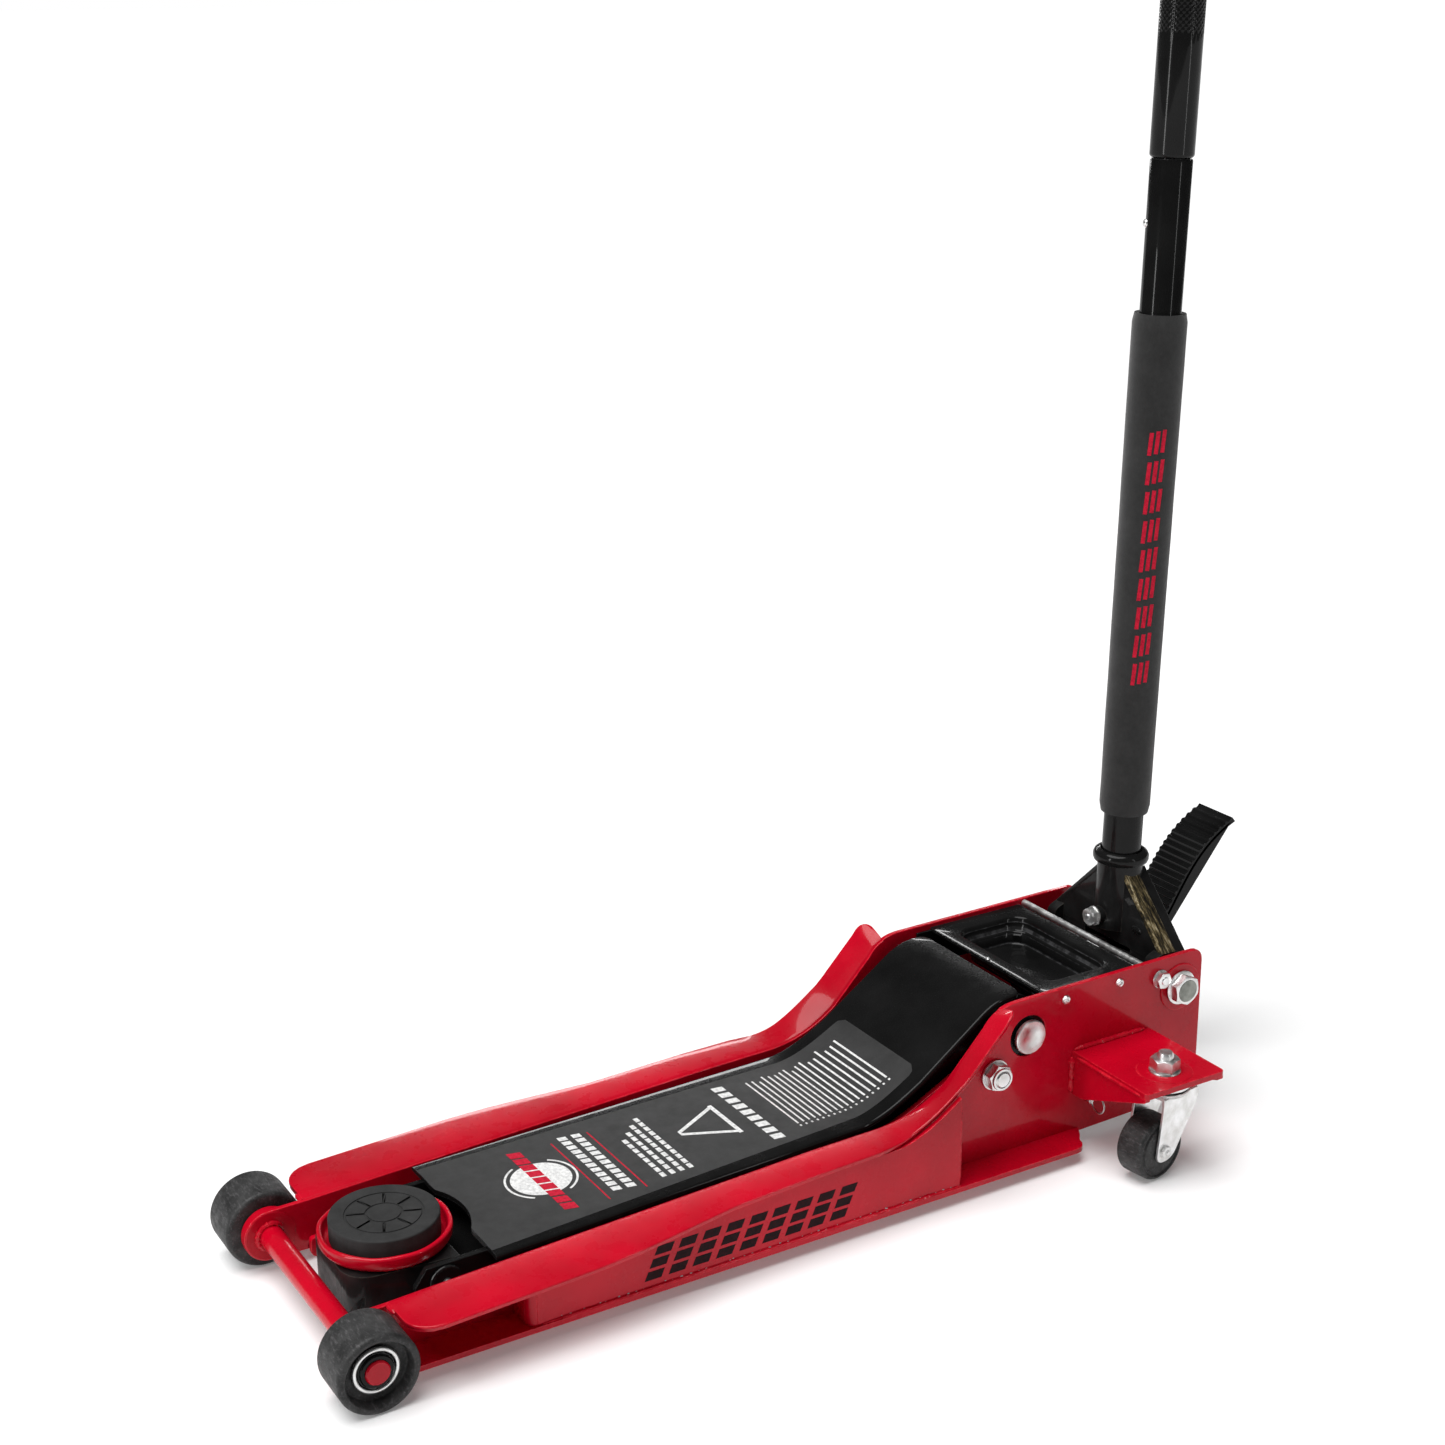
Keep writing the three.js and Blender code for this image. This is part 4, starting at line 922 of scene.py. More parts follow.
def make_label_marks():
    """Marks in white with no lettering: a disc, plain dashes, a triangle and a ruled block."""
    centre = (-1, 214.5)
    marks = [label_disc(centre, 0.5, 27, 0, 359.5)]
    marks += [label_disc(centre, 30.5, 32.5, start, start + 118) for start in (26, 206)]
    for row, (y0, y1) in enumerate(((257, 265), (270, 278))):
        for i in range(12):
            x = -56 + 9.2 * i + 2 * row
            marks.append(label_strip(x, x + 6.6, y0, y1, 0.22))
    for row in range(4):
        for i in range(8 + row):
            x = 56 - 9.6 * i
            marks.append(label_strip(x - 7.4, x, 303 + 9 * row, 307.4 + 9 * row))
    marks.append(label_strip(-29, 29, 397.5, 401.5))
    for way in (1, -1):
        marks.append(label_strip(way * 1.5 - 2.2, way * 1.5 + 2.2, 352, 399, way * 0.52))
    for i in range(9):
        x = -56 + 12.9 * i
        marks.append(label_strip(x, x + 8.6, 417, 428, 0.18))
    for i in range(17):
        y = 449 + 6 * i
        inset = 26 * abs(noise.noise(Vector((i * 0.9, 3.3, 0))))
        marks.append(label_strip(-51 + inset, 44, y, y + 1.7))
        marks.append(label_strip(47, 49.5, y, y + 1.7))
    return merged(*marks)


def make_label_accents():
    """Two thin rules and a slanted band of bars, in red."""
    marks = [label_strip(-50, 62, y, y + 1.2) for y in (248, 284)]
    for i in range(9):
        x = -56 + 12.6 * i
        marks.append(label_strip(x, x + 10.4, 207 + 0.2 * i, 219 + 0.2 * i, 0.3, 0.36))
    return merged(*marks)


def arm_plate_outline():
    outline = bezier((92, 21), (75, 21.5), (65, 30), (65, 46), 8) + [(76, 61.2)]
    outline += [(y, z - 4.4) for y, z in arm_top_edge() if 130 < y < 660]
    outline += arc((MAIN.y, MAIN.z), 30, 86, -109, 24)
    outline += bezier((600, 88), (555, 57), (495, 39.5), (430, 34), 12)
    return outline


def make_tip_boss():
    """The round boss at the arm's tip, welded on all round."""
    ring = [(69.6, y, z) for y, z in arc((TIP.y, TIP.z), 13, 0, 340, 24)]
    return merged(rod(13.5, 68, 71, centre=TIP_AXIS, segments=48), weld_bead(ring, 1.6, 7.0))


def build_arm():
    arm = "lift_arm"
    piece("arm_cover", make_arm_cover(), GLOSSY_COVER, "lift_arm_cover", body=arm)
    piece("label_sheet", make_label_sheet(), COVER, body=arm)
    piece("label_print", make_label_marks(), WHITE_INK, body=arm, smooth=False)
    piece("label_accent", make_label_accents(), RED_INK, body=arm, smooth=False)
    for side in SIDES:
        plate = prism(arm_plate_outline(), 62, 68)
        side_piece(side, "arm_plate", plate, BLACK, "lift_arm_plate", body=arm, bevel=0.9)
        side_piece(side, "arm_tip_boss", make_tip_boss(), BLACK, body=arm, bevel=0.4)
    floor = box((-61.7, 61.7), (118, 200), (30, 36))
    piece("arm_floor_plate", floor, BLACK, "lift_arm_brace", body=arm, bevel=0.8)


def build_links():
    for side in SIDES:
        outline = rounded([
            (29, LINK_TIP.z - 3, 5), (46.1, LINK_TIP.z - 7.5, 7.5), (73.6, LINK_TIP.z - 7.5, 10),
            (500, 38, 60), (LINK.y - 14, LINK.z - 18, 10), (LINK.y + 13, LINK.z - 12, 10),
            (LINK.y + 13, LINK.z + 13, 10), (LINK.y - 16, LINK.z + 8, 10), (505, 56, 60),
            (73.6, LINK_TIP.z + 9.5, 10), (46.1, LINK_TIP.z + 13.5, 7.5), (29, LINK_TIP.z + 15, 5),
        ], 8)
        name = SIDE_NAMES[side]
        bar = on_side(prism(outline, 73, 79), side)
        piece(f"link_{name}_bar", bar, RED, f"link_bar_{name}", body=f"link_{name}", bevel=0.9)


# ---- saddle


def make_cradle():
    """The saddle's cradle: a folded box, narrower in front, with a slanted front shield."""
    side = rounded([(18, 57, 2), (18, 16, 6), (44, 8.5, 8), (64, 8.5, 8), (108, 32, 10), (112, 57, 2)], 6)
    plan = rounded([(-47, 18, 24), (47, 18, 24), (56, 112, 3), (-56, 112, 3)], 8)
    shield = rounded([
        (-80, 90, 0), (-80, 44, 0), (-48, 44, 10), (-26, 8, 14),
        (26, 8, 14), (48, 44, 10), (80, 44, 0), (80, 90, 0),
    ], 8)
    shell = boolean(prism(side, -80, 80), [prism(plan, 0, 80, "z")], "INTERSECT")
    trim = boolean(prism(shield, 10, 30, "y"), [box((-80, 80), (29.9, 130), (0, 90))], "UNION")
    shell = boolean(shell, [trim], "INTERSECT")
    hollow = prism([(-24, 25), (24, 25), (42, 46), (50, 113), (-50, 113), (-42, 46)], -1, 49, "z")
    return boolean(shell, [hollow])


def make_saddle_ring():
    """The red dish that holds the pad. Its upper rim is rolled and slightly uneven."""

    def uneven(angle, radius, along):
        share = min(max((along - 61) / 8, 0), 1) * (1 if radius > 40 else 0)
        lump = 0.4 * noise.noise(Vector((3 * math.cos(angle), 3 * math.sin(angle), 1)))
        return share * (math.sin(8 * angle) * 0.35 + lump)

    profile = [(0, 38), (10, 38), (11, 39), (11, 57.3), (49.5, 57.3), (53.6, 59), (56.2, 63)]
    profile += arc((54.4, 69.6), 2.3, -10, 175, 9)
    profile += [(51.6, 64), (49.4, 62), (0, 62)]
    return lathe(profile, "z", SADDLE_CENTRE, 128, uneven)


def make_saddle_pad():
    """The rubber pad. Its top has two ring grooves and eight straight ones between them."""
    profile = [(0, 62.3), (45.4, 62.3), (46.7, 63.4), (46.7, 80.2)]
    profile += arc((45.2, 80.8), 1.5, 0, 90, 5)
    profile += [(0, 82.3)]
    pad = lathe(profile, "z", SADDLE_CENTRE, 96)
    bottom, top = 81.4, 84
    cutters = []
    for radius in (15, 32.5):
        section = [(radius - 0.9, bottom), (radius + 0.9, bottom), (radius + 1.4, top), (radius - 1.4, top)]
        cutters.append(lathe(section, "z", SADDLE_CENTRE, 96))
    for i in range(8):
        turn = Matrix.Translation(SADDLE_CENTRE) @ Matrix.Rotation(math.radians(45 * i + 22.5), 4, "Z")
        cutters.append(moved(box((16.4, 31.1), (-1, 1), (bottom, top)), turn))
    return boolean(pad, cutters)


def make_link_tip_pin():
    heads = [on_side(rod(LINK_TIP_HEAD, 79.5, 82, centre=LINK_TIP_AXIS), side) for side in SIDES]
    return merged(*heads, rod(6, -80, 80, centre=LINK_TIP_AXIS))


def make_tip_pin():
    ends = [on_side(rod(4, 70, 73.5, centre=TIP_AXIS, segments=24), side) for side in SIDES]
    return merged(rod(TIP_PIN, -70.8, 70.8, centre=TIP_AXIS), *ends)


def build_saddle():
    piece("cradle_box", make_cradle(), CASTING, "saddle_cradle", body="cradle", bevel=1.3)
    piece("link_tip_pin", make_link_tip_pin(), STEEL, "cradle_link_pin", body="cradle")
    dish = piece("saddle_dish", make_saddle_ring(), RED, "saddle_tray", body="saddle")
    dish.data.set_sharp_from_angle(angle=math.radians(60))
    pad = piece("saddle_rubber_pad", make_saddle_pad(), RUBBER, "saddle_pad", body="saddle", bevel=0.3)
    clip = lathe(arc((13, 46.2), 1.2, 0, 330, 9), "z", SADDLE_CENTRE, 40)
    piece("stem_clip", clip, STEEL, "saddle_clip", body="saddle")
    piece("tip_pin", make_tip_pin(), STEEL, "cradle_pivot_pin", body="lift_arm")


# ---- tray and rear cross bar


def make_tray():
    """A pressed sheet with a stepped, rounded recess."""
    top = ((0, 163), (0.6, 162.6), (1.8, 161), (2.2, 154), (4.2, 151.4), (6.2, 150.8), (7.4, 149.4),
           (7.8, 141.5), (8.8, 138.9), (10.6, 138))
    under = ((9, 135.6), (5.6, 137.2), (5.4, 147.4), (-0.2, 153.2), (-0.6, 158), (-5.6, 160.5))

    def opening(inset, z):
        half, front, rear = 68 - inset, 706 + inset, 783 - inset
        corners = [(-half, front, 20), (half, front, 20), (half, rear, 20), (-half, rear, 20)]
        return [Vector((x, y, z)) for x, y in rounded(corners, 10)]

    outer = rounded([(-90.6, 689.2, 3), (90.6, 689.2, 3), (90.6, 800, 3), (-90.6, 800, 3)], 10)
    rings = [opening(inset, z) for inset, z in under]
    rings += [[Vector((x, y, z)) for x, y in outer] for z in (160.5, 163)]
    rings += [opening(inset - 3, z) for inset, z in top]
    return loft(rings)


def build_tray():
    tray = piece("tray_pressing", make_tray(), BLACK, "tool_tray")
    tray.data.set_sharp_from_angle(angle=math.radians(50))
    # Black sheets along the rails' inner walls, reaching forward into the gap behind the arm cover: painted
    # shade over the red walls.
    shade_sheet = [(673, 161), (673, 146), (683, 134), (683, 125), (796, 125), (796, 161)]
    shade_sheets = [prism(shade_sheet, 88.1, 90.6), prism(shade_sheet, -90.6, -88.1)]
    piece("tray_shade_sheets", merged(*shade_sheets), BLACK, bevel=0.6)
    low, high = node_box("rear_tie_rod")
    bar = rod(3.5, low.x, high.x, centre=axis_of("rear_tie_rod"))
    piece("rear_bar", bar, ZINC, "rear_tie_rod")
    plate = box((-90.6, 90.6), (575, 700), (12.3, 17.3))
    piece("belly_plate", plate, RED, "bottom_tie_plate", bevel=0.9)
    head = [(0, 162.6), (2.2, 162.6), (2.2, 163.5), (1.5, 164.3), (0, 164.5)]
    piece("tray_rivet", lathe(head, "z", (0, 692.5, 0), 20), ZINC)


# ---- fasteners on the sides


def make_main_pivot():
    """The pivot shaft, with its flat round head on the right-hand side."""
    head = [(0, 90.5), (12, 90.5), (12, 96.4), (15.7, 96.4), (16.5, 97.2), (16.5, 100.2)]
    head += [(15.7, 101), (8, 101), (7.4, 100.6), (0, 100.6)]
    return merged(lathe(head, "x", MAIN_AXIS, 64), rod(12, -98, 91, centre=MAIN_AXIS))


def make_link_nut():
    """The link's stud with its washer, nut and collar."""
    washer = [(8.4, 96.4), (14, 96.4), (14.6, 97), (14.6, 98.6), (8.4, 98.6)]
    collar = [(8.4, 107.6), (11, 107.6), (10.4, 110), (8.4, 110)]
    return merged(
        rod(8, 72, 111, centre=LINK_AXIS, segments=40, chamfer=1.4),
        lathe(washer, "x", LINK_AXIS, 48),
        hex_head(23, 98.7, 108, centre=LINK_AXIS, turn=0.25, inner=8.2),
        lathe(collar, "x", LINK_AXIS, 48),
    )


def make_pivot_bolt():
    """One of the two bolts that the yoke swings on."""
    flange = [(0, 97.4), (16.2, 97.4), (17, 98.2), (17, 99.2), (14, 100.6), (0, 100.6)]
    return merged(
        rod(10, 60, 97, centre=PIVOT_AXIS),
        lathe(flange, "x", PIVOT_AXIS, 64),
        hex_head(26.5, 100.4, 108.4, centre=PIVOT_AXIS, turn=0.1),
    )


def make_stop_bolt():
    centre = (0, 823.5, 148.3)
    return merged(
        rod(9.2, 96, 97.6, centre=centre, segments=40),
        hex_head(14.5, 97.5, 103.6, centre=centre, turn=0.35),
        rod(4.2, 89, 104.6, centre=centre, segments=24),
    )


def make_tray_screws():
    head = [(0, 95.8), (4.4, 95.8), (4.4, 96.6), (3.4, 98.2), (1.6, 98.7), (1.2, 97.6), (0, 97.4)]
    return merged(*[lathe(head, "x", (0, y, z), 32) for y, z in ((709.7, 154.9), (773.4, 156.5))])


def build_side_fasteners():
    for side in SIDES:
        if side > 0:
            piece("main_pivot_pin", make_main_pivot(), ZINC, "main_pivot_shaft")
        else:
            washer = rod(16.5, -99.6, -96.4, centre=MAIN_AXIS, segments=64)
            piece("main_pivot_washer", washer, ZINC)
        # A black ring fills the pivot hole round the shaft: painted shade for the dark gap.
        shade_ring = lathe([(12.4, 91.6), (19.8, 91.6), (19.8, 94.4), (12.4, 94.4)], "x", MAIN_AXIS, 64)
        side_piece(side, "pivot_gap_shade", shade_ring, BLACK)
        side_piece(side, "link_nut", make_link_nut(), ZINC, "link_bolt")
        side_piece(side, "pivot_bolt", make_pivot_bolt(), ZINC, "handle_pivot_bolt")
        face = rod(11.2, 107.4, 108.7, centre=PIVOT_AXIS, segments=48, chamfer=0.4)
        side_piece(side, "pivot_bolt_face", face, DULL_ZINC)
        boss = [(10.4, 95.8), (23, 95.8), (24, 96.4), (23.2, 97.3), (10.4, 97.3)]
        side_piece(side, "pivot_boss", lathe(boss, "x", PIVOT_AXIS, 64), RED, bevel=0.3)
        side_piece(side, "stop_bolt", make_stop_bolt(), ZINC)
        side_piece(side, "tray_screws", make_tray_screws(), ZINC)


# ---- casters


def make_bracket():
    """The shelf that carries a caster, with a gusset under its front and rear edges."""
    plan = rounded([(96.3, 720, 0), (201, 720, 5), (201, 813, 5), (96.3, 813, 0)], 8)
    outline = rounded([(96.3, 56, 0), (96.3, 95, 0), (199, 95, 2), (199, 90.5, 2), (112, 56, 6)])
    gussets = [prism(outline, front, front + 6, "y") for front in (720, 807)]
    seat = [(12.6, 99.8), (25, 99.8), (26, 100.2), (24.6, 100.8), (12.6, 100.6)]
    return merged(prism(plan, 94, 100, "z"), *gussets, lathe(seat, "z", CASTER_CENTRE, 56))


def make_bracket_welds():
    top = [(97, y, 101) for y in range(722, 812, 6)]
    front = [(97, 719, z) for z in range(58, 100, 6)]
    rear = [(97, 814, z) for z in range(58, 100, 6)]
    fold = [(x, 719.6, 96) for x in range(104, 196, 8)]
    return merged(
        weld_bead(top, 2.7, 11.0), weld_bead(front, 2.9, 12.0), weld_bead(rear, 2.9, 13.0),
        weld_bead(fold, 1.5, 14.0),
    )


def make_fork():
    """Two legs pressed from one sheet, with a rounded fold and the lower race between them."""
    half = 14.5 + 1.2
    foot = CASTER_RADIUS - 10.5
    outline = rounded([
        (-CASTER_TRAIL - 10.5, foot, 10), (-CASTER_TRAIL + 10.5, foot, 10),
        (27, 70, 6), (27, 83, 3), (-20, 83, 3), (-20, 72, 5),
    ], 9)
    legs = [prism(outline, *sorted((way * half, way * (half + 3)))) for way in (1, -1)]
    fold = arc((-half + 1, 81), 4, 180, 90, 6) + arc((half - 1, 81), 4, 90, 0, 6)
    fold += [(half, 80.5), (half - 1, 81), (-half + 1, 81), (-half, 80.5)]
    race = [(8.4, 79.8), (19, 79.8), (22.5, 82), (25, 86), (23.4, 86.4), (20, 84.6), (8.4, 84.6)]
    return merged(*legs, prism(fold, -20, 26, "y"), lathe(race, "z", segments=56))


def make_race():
    """The nut, stem and upper race, which stay still while the fork swivels."""
    race = [(7.7, 86.4), (20, 86.4), (23, 87.2), (24.4, 89), (24.2, 91.4), (22.6, 93.7), (7.7, 93.7)]
    stem = [(0, 75), (11, 75), (12, 76), (12, 79.4), (7.7, 79.4), (7.7, 116.4), (6.2, 119), (0, 119)]
    washer = [(8.4, 100.3), (14.2, 100.3), (14.8, 101), (14.2, 102.2), (8.4, 102.2)]
    return merged(
        lathe(race, "z", CASTER_CENTRE, 56), lathe(stem, "z", CASTER_CENTRE, 40),
        lathe(washer, "z", CASTER_CENTRE, 48),
        hex_head(24, 102.2, 113.4, "z", CASTER_CENTRE, 0.3, 8.1),
    )


def make_caster_axle():
    return merged(
        rod(4, -18, 18, centre=TYRE_CENTRE), hex_head(11, 18.5, 22, centre=TYRE_CENTRE, turn=0.2),
        hex_head(11, -18.5, -22, centre=TYRE_CENTRE),
        rod(2.6, 21.5, 23.4, centre=TYRE_CENTRE, segments=20),
    )


def make_caster_tyre():
    profile = [(4.4, -14.5), (22, -14.5), (23, -13), (25.5, -13), (26.4, -14.3)]
    profile += arc((CASTER_RADIUS - 4, -10.5), 4, -80, 0, 6)
    profile += arc((CASTER_RADIUS - 4, 10.5), 4, 0, 80, 6)
    profile += [(26.4, 14.3), (25.5, 13), (23, 13), (22, 14.5), (4.4, 14.5)]
    return lathe(profile, "x", TYRE_CENTRE, 80)


def make_wire_ring():
    """A wire loop that hangs in an eye on the rail, just below the bracket."""
    angles = [2 * math.pi * i / 24 for i in range(24)]
    loop = [(110 + 9 * math.cos(a), 742, 44 + 8.5 * math.sin(a)) for a in angles]
    eye = rod(3, 95.8, 101.5, centre=(0, 742, 44), segments=24)
    return merged(sweep(loop, 0.9, 8, True), eye)


def build_casters():
    for side in SIDES:
        side_piece(side, "bracket", make_bracket(), RED, "caster_bracket", bevel=1.2)
        side_piece(side, "bracket_welds", make_bracket_welds(), RED)
        side_piece(side, "caster_race", make_race(), ZINC, "caster_stem")
        swivel = (
            TO_FRAME
            @ Matrix.Translation((side * CASTER.x, CASTER.y, 0))
            @ Matrix.Rotation(side * CASTER_TURN, 4, "Z")
        )
        turning = {"body": "caster_swivel_{}", "place": swivel}
        side_piece(side, "fork", make_fork(), ZINC, "caster_fork", bevel=0.6, **turning)
        side_piece(side, "fork_axle", make_caster_axle(), ZINC, "caster_axle", **turning)
        turning["body"] = "caster_wheel_{}"
        side_piece(side, "caster_tyre", make_caster_tyre(), WHEEL, "caster_wheel", bevel=0.3, **turning)
        side_piece(side, "wire_ring", make_wire_ring(), ZINC)


# ---- hydraulics


def spring_coil(centre_x, front, rear):
    """A closely wound spring along y, with a hook at each end."""
    radius, wire, turns = 6, 1.1, 13
    steps = turns * 18
    points = [(centre_x, front - 5, RAM_Z), (centre_x + 3, front - 3, RAM_Z)]
    for i in range(steps + 1):
        angle = 2 * math.pi * turns * i / steps
        y = front + (rear - front) * i / steps
        points.append((centre_x + radius * math.cos(angle), y, RAM_Z + radius * math.sin(angle)))
    points.append((centre_x + 3, rear + 1, RAM_Z))
    return sweep(points, wire, 7)


def at_pivot(mesh):
    """Moves a spindle piece, made upright at the origin, onto the handle's pivot and tilts it."""
    return moved(mesh, Matrix.Translation(PIVOT_AXIS) @ SPINDLE_TURN)


def make_valve_block():
    """The cast block between the rails, with its lugs, its two pump barrels and their bores."""
    body = prism(rounded([(-46, 42, 6), (46, 42, 6), (46, 124, 6), (-46, 124, 6)], 6), 790, 818, "y")
    corners = [(-90.5, 66, 3), (90.5, 66, 3), (90.5, 92, 3), (-90.5, 92, 3)]
    lugs = prism(rounded(corners), 795, 813, "y")
    barrel = rod(11, 754, 819, "y", PUMP_AXIS, 40)
    pedal_barrel = rod(9.5, 772, 819, "y", PEDAL_PUMP_AXIS, 40)
    cast = boolean(body, [lugs, barrel, pedal_barrel], "UNION")
    return boolean(cast, [
        rod(11.5, 780, 812, "y", RAM_AXIS), at_pivot(rod(6, -64, -20, "z")),
        rod(8.2, 800, 840, "y", PUMP_AXIS), rod(6.2, 800, 840, "y", PEDAL_PUMP_AXIS),
    ])


def make_valve_plugs():
    return merged(
        hex_head(17, 124, 130, "z", (24, 804, 0), 0.2), hex_head(13, 124, 129, "z", (-8, 802, 0), 0.5),
        hex_head(15, 818, 823, "y", (22, 0, 62), 0.1),
    )


def make_ram():
    low, high = node_box("ram_rod")
    neck = RAM_PIN_Y + 13
    profile = [
        (0, low.y), (12.4, low.y), (14.5, low.y + 2.2), (14.5, neck - 1), (13.5, neck),
        (11, neck), (11, high.y - 1), (10, high.y), (0, high.y),
    ]
    pin_hole = rod(7.3, -30, 30, centre=(0, RAM_PIN_Y, RAM_Z))
    return boolean(lathe(profile, "y", RAM_AXIS, 48), [pin_hole])


def build_springs():
    """The springs are fixed to the block behind and to the ram's pin in front."""
    front, rear = RAM_PIN_Y + 8, 789
    for side in SIDES:
        name = SIDE_NAMES[side]
        coil = spring_coil(side * 45, front + 3, rear - 2)
        spring = piece(f"spring_coil_{name}", coil, STEEL, f"return_spring_{name}", body=None)
        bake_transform(spring)


def make_spindle():
    """The release valve's spindle, with the ball that the handle turns."""
    section = [(0, -9.5)] + arc((0, 0), 9.5, -80, 80, 8) + [(0, 9.5)]
    return merged(lathe(section, "z", PIVOT_AXIS, 40), at_pivot(rod(5, -58, -4, "z")))


def build_hydraulics():
    piece("valve_block", make_valve_block(), CASTING, "hydraulic_block", bevel=1.0)
    piece("valve_plugs", make_valve_plugs(), CASTING)
    tank = [(20.3, 716), (33, 716), (36, 719), (36, 786.6), (33.4, 789.6), (20.3, 789.6)]
    tank += [(20.3, 784), (33, 784), (33, 721), (20.3, 721)]
    piece("reservoir_tank", lathe(tank, "y", RAM_AXIS, 64), CASTING, "oil_reservoir", bevel=0.5)
    piece("filler_plug", rod(5, 34, 40, "z", (0, 745, RAM_Z), 24), RUBBER)
    tube = [(11.6, 712), (19, 712), (20, 713), (20, 789.6), (11.6, 789.6)]
    piece("cylinder_tube", lathe(tube, "y", RAM_AXIS, 48), STEEL, "ram_cylinder")
    piece("ram_piston", make_ram(), CHROME, "ram_rod", body="ram", bevel=0.3)
    pin = rod(7, -52, 52, centre=(0, RAM_PIN_Y, RAM_Z))
    piece("ram_pin", pin, STEEL, "ram_cross_pin", body="ram")
    build_springs()
    plunger = [(0, 790), (7, 790), (7.6, 790.6), (7.6, 851.5), (8.4, 851.5), (9, 852.2), (9, 854.6)]
    plunger = lathe(plunger + [(8, 855.5), (0, 855.5)], "y", PUMP_AXIS, 40)
    piece("pump_piston", plunger, CHROME, "pump_plunger", body="pump_plunger")
    small = rod(5.6, 792, 835, "y", PEDAL_PUMP_AXIS, 32)
    piece("pedal_piston", small, CHROME, "pedal_plunger", body="pedal_plunger")
    piece("valve_spindle", make_spindle(), STEEL, "release_spindle", body="release_spindle")


def build_lever():
    """Two slotted ears that hang from a hub on the main pivot and push the ram's pin."""
    slope = math.radians(30)
    reach = 52 / math.cos(slope)
    ear = rounded([(-18, 4, 0), (-12.5, -reach - 14, 12), (12.5, -reach - 14, 12), (18, 4, 0)], 8)
    half, top, bottom = 8.2, -43.5, -reach - 8.5
    slot = rounded([(-half, top, 5), (half, top, 5), (half, bottom, 5), (-half, bottom, 5)], 6)
    place = Matrix.Translation(MAIN_AXIS) @ Matrix.Rotation(slope, 4, "X")
    ears = []
    for side in SIDES:
        plate = boolean(prism(ear, *sorted((side * 16, side * 24))), [prism(slot, -40, 40)])
        ears.append(moved(plate, place))
    hub = lathe([(12.5, -61.7), (20, -61.7), (20, 61.7), (12.5, 61.7)], "x", MAIN_AXIS, 56)
    piece("lever_ears", merged(hub, *ears), CASTING, "lift_arm_lever", body="lift_arm", bevel=0.9)


# ---- handle


def make_yoke():
    """The cast yoke without its rims: web, cheeks, bosses and socket."""
    web = prism([(-80, 18), (80, 18), (80, 29), (18, 91), (-18, 91), (-80, 29)], -10, -3, "y")
    parts = []
    cheek = rounded([
        (-21, -21, 16), (-21, 24, 6), (-10, 29, 2), (11, 29, 8), (36, 12, 10), (24, -24, 14),
    ], 8)
    for side in SIDES:
        parts.append(prism(cheek, *sorted((side * 68, side * 80))))
        parts.append(rod(17, *sorted((side * 68, side * 88)), segments=56, chamfer=1.5))
    parts.append(box((-69, 69), (-9.6, -3.4), (1, 24)))
    parts.append(rod(22, 30, 101, "z", segments=64, chamfer=0.4))
    parts.append(rod(8.5, -28, -12, "y", LOCK_AXIS, 40, 1.0))
    bores = [
        rod(19.4, 33, 120, "z", segments=64, chamfer=0.1), rod(9.6, 10, 40, "z", segments=40, chamfer=0.1),
        rod(15, -6, 11, "z", segments=40, chamfer=0.1), rod(10.5, -100, 100, segments=48),
        rod(4.8, -40, -10, "y", LOCK_AXIS),
    ]
    return boolean(boolean(web, parts, "UNION"), bores)


def make_rim(side, front, rear, low, high):
    """A bar along one of the yoke's sloping shoulders, slightly uneven like a casting."""
    rings = []
    steps = 24
    for i in range(steps + 1):
        x = 15 + i * (80 - 15) / steps
        wave = 0.35 * noise.noise(Vector((i * 0.7, side, 2.0)))
        section = rounded([
            (front, low, 1.5), (rear + wave, low, 2.5), (rear + wave, high, 2.5), (front, high + wave, 1.5),
        ], 3)
        shoulder = 109 - x
        rings.append([Vector((side * (x + rise / 2), y, shoulder + rise / 2)) for y, rise in section])
    return loft(rings)


def make_lock_screw():
    washer = [(4.8, -29.6), (9.6, -29.6), (9.6, -28.2), (4.8, -28.2)]
    return merged(
        rod(4.5, -30, -19.8, "y", LOCK_AXIS), hex_head(16, -29.4, -36.4, "y", LOCK_AXIS, 0.15),
        lathe(washer, "y", LOCK_AXIS, 40), rod(3, -38, -36, "y", LOCK_AXIS, 24),
    )


def make_web_plug():
    section = [(0, 0), (4.2, 0), (5, 0.6), (4.2, 1.4), (2.4, 1.8), (0, 1.8)]
    place = Matrix.Translation((42, -10, 40)) @ Matrix.Diagonal((1.4, -1, 0.8, 1))
    plug = moved(lathe(section, "y", segments=32), place)
    bmesh.ops.recalc_face_normals(plug, faces=plug.faces)
    return plug


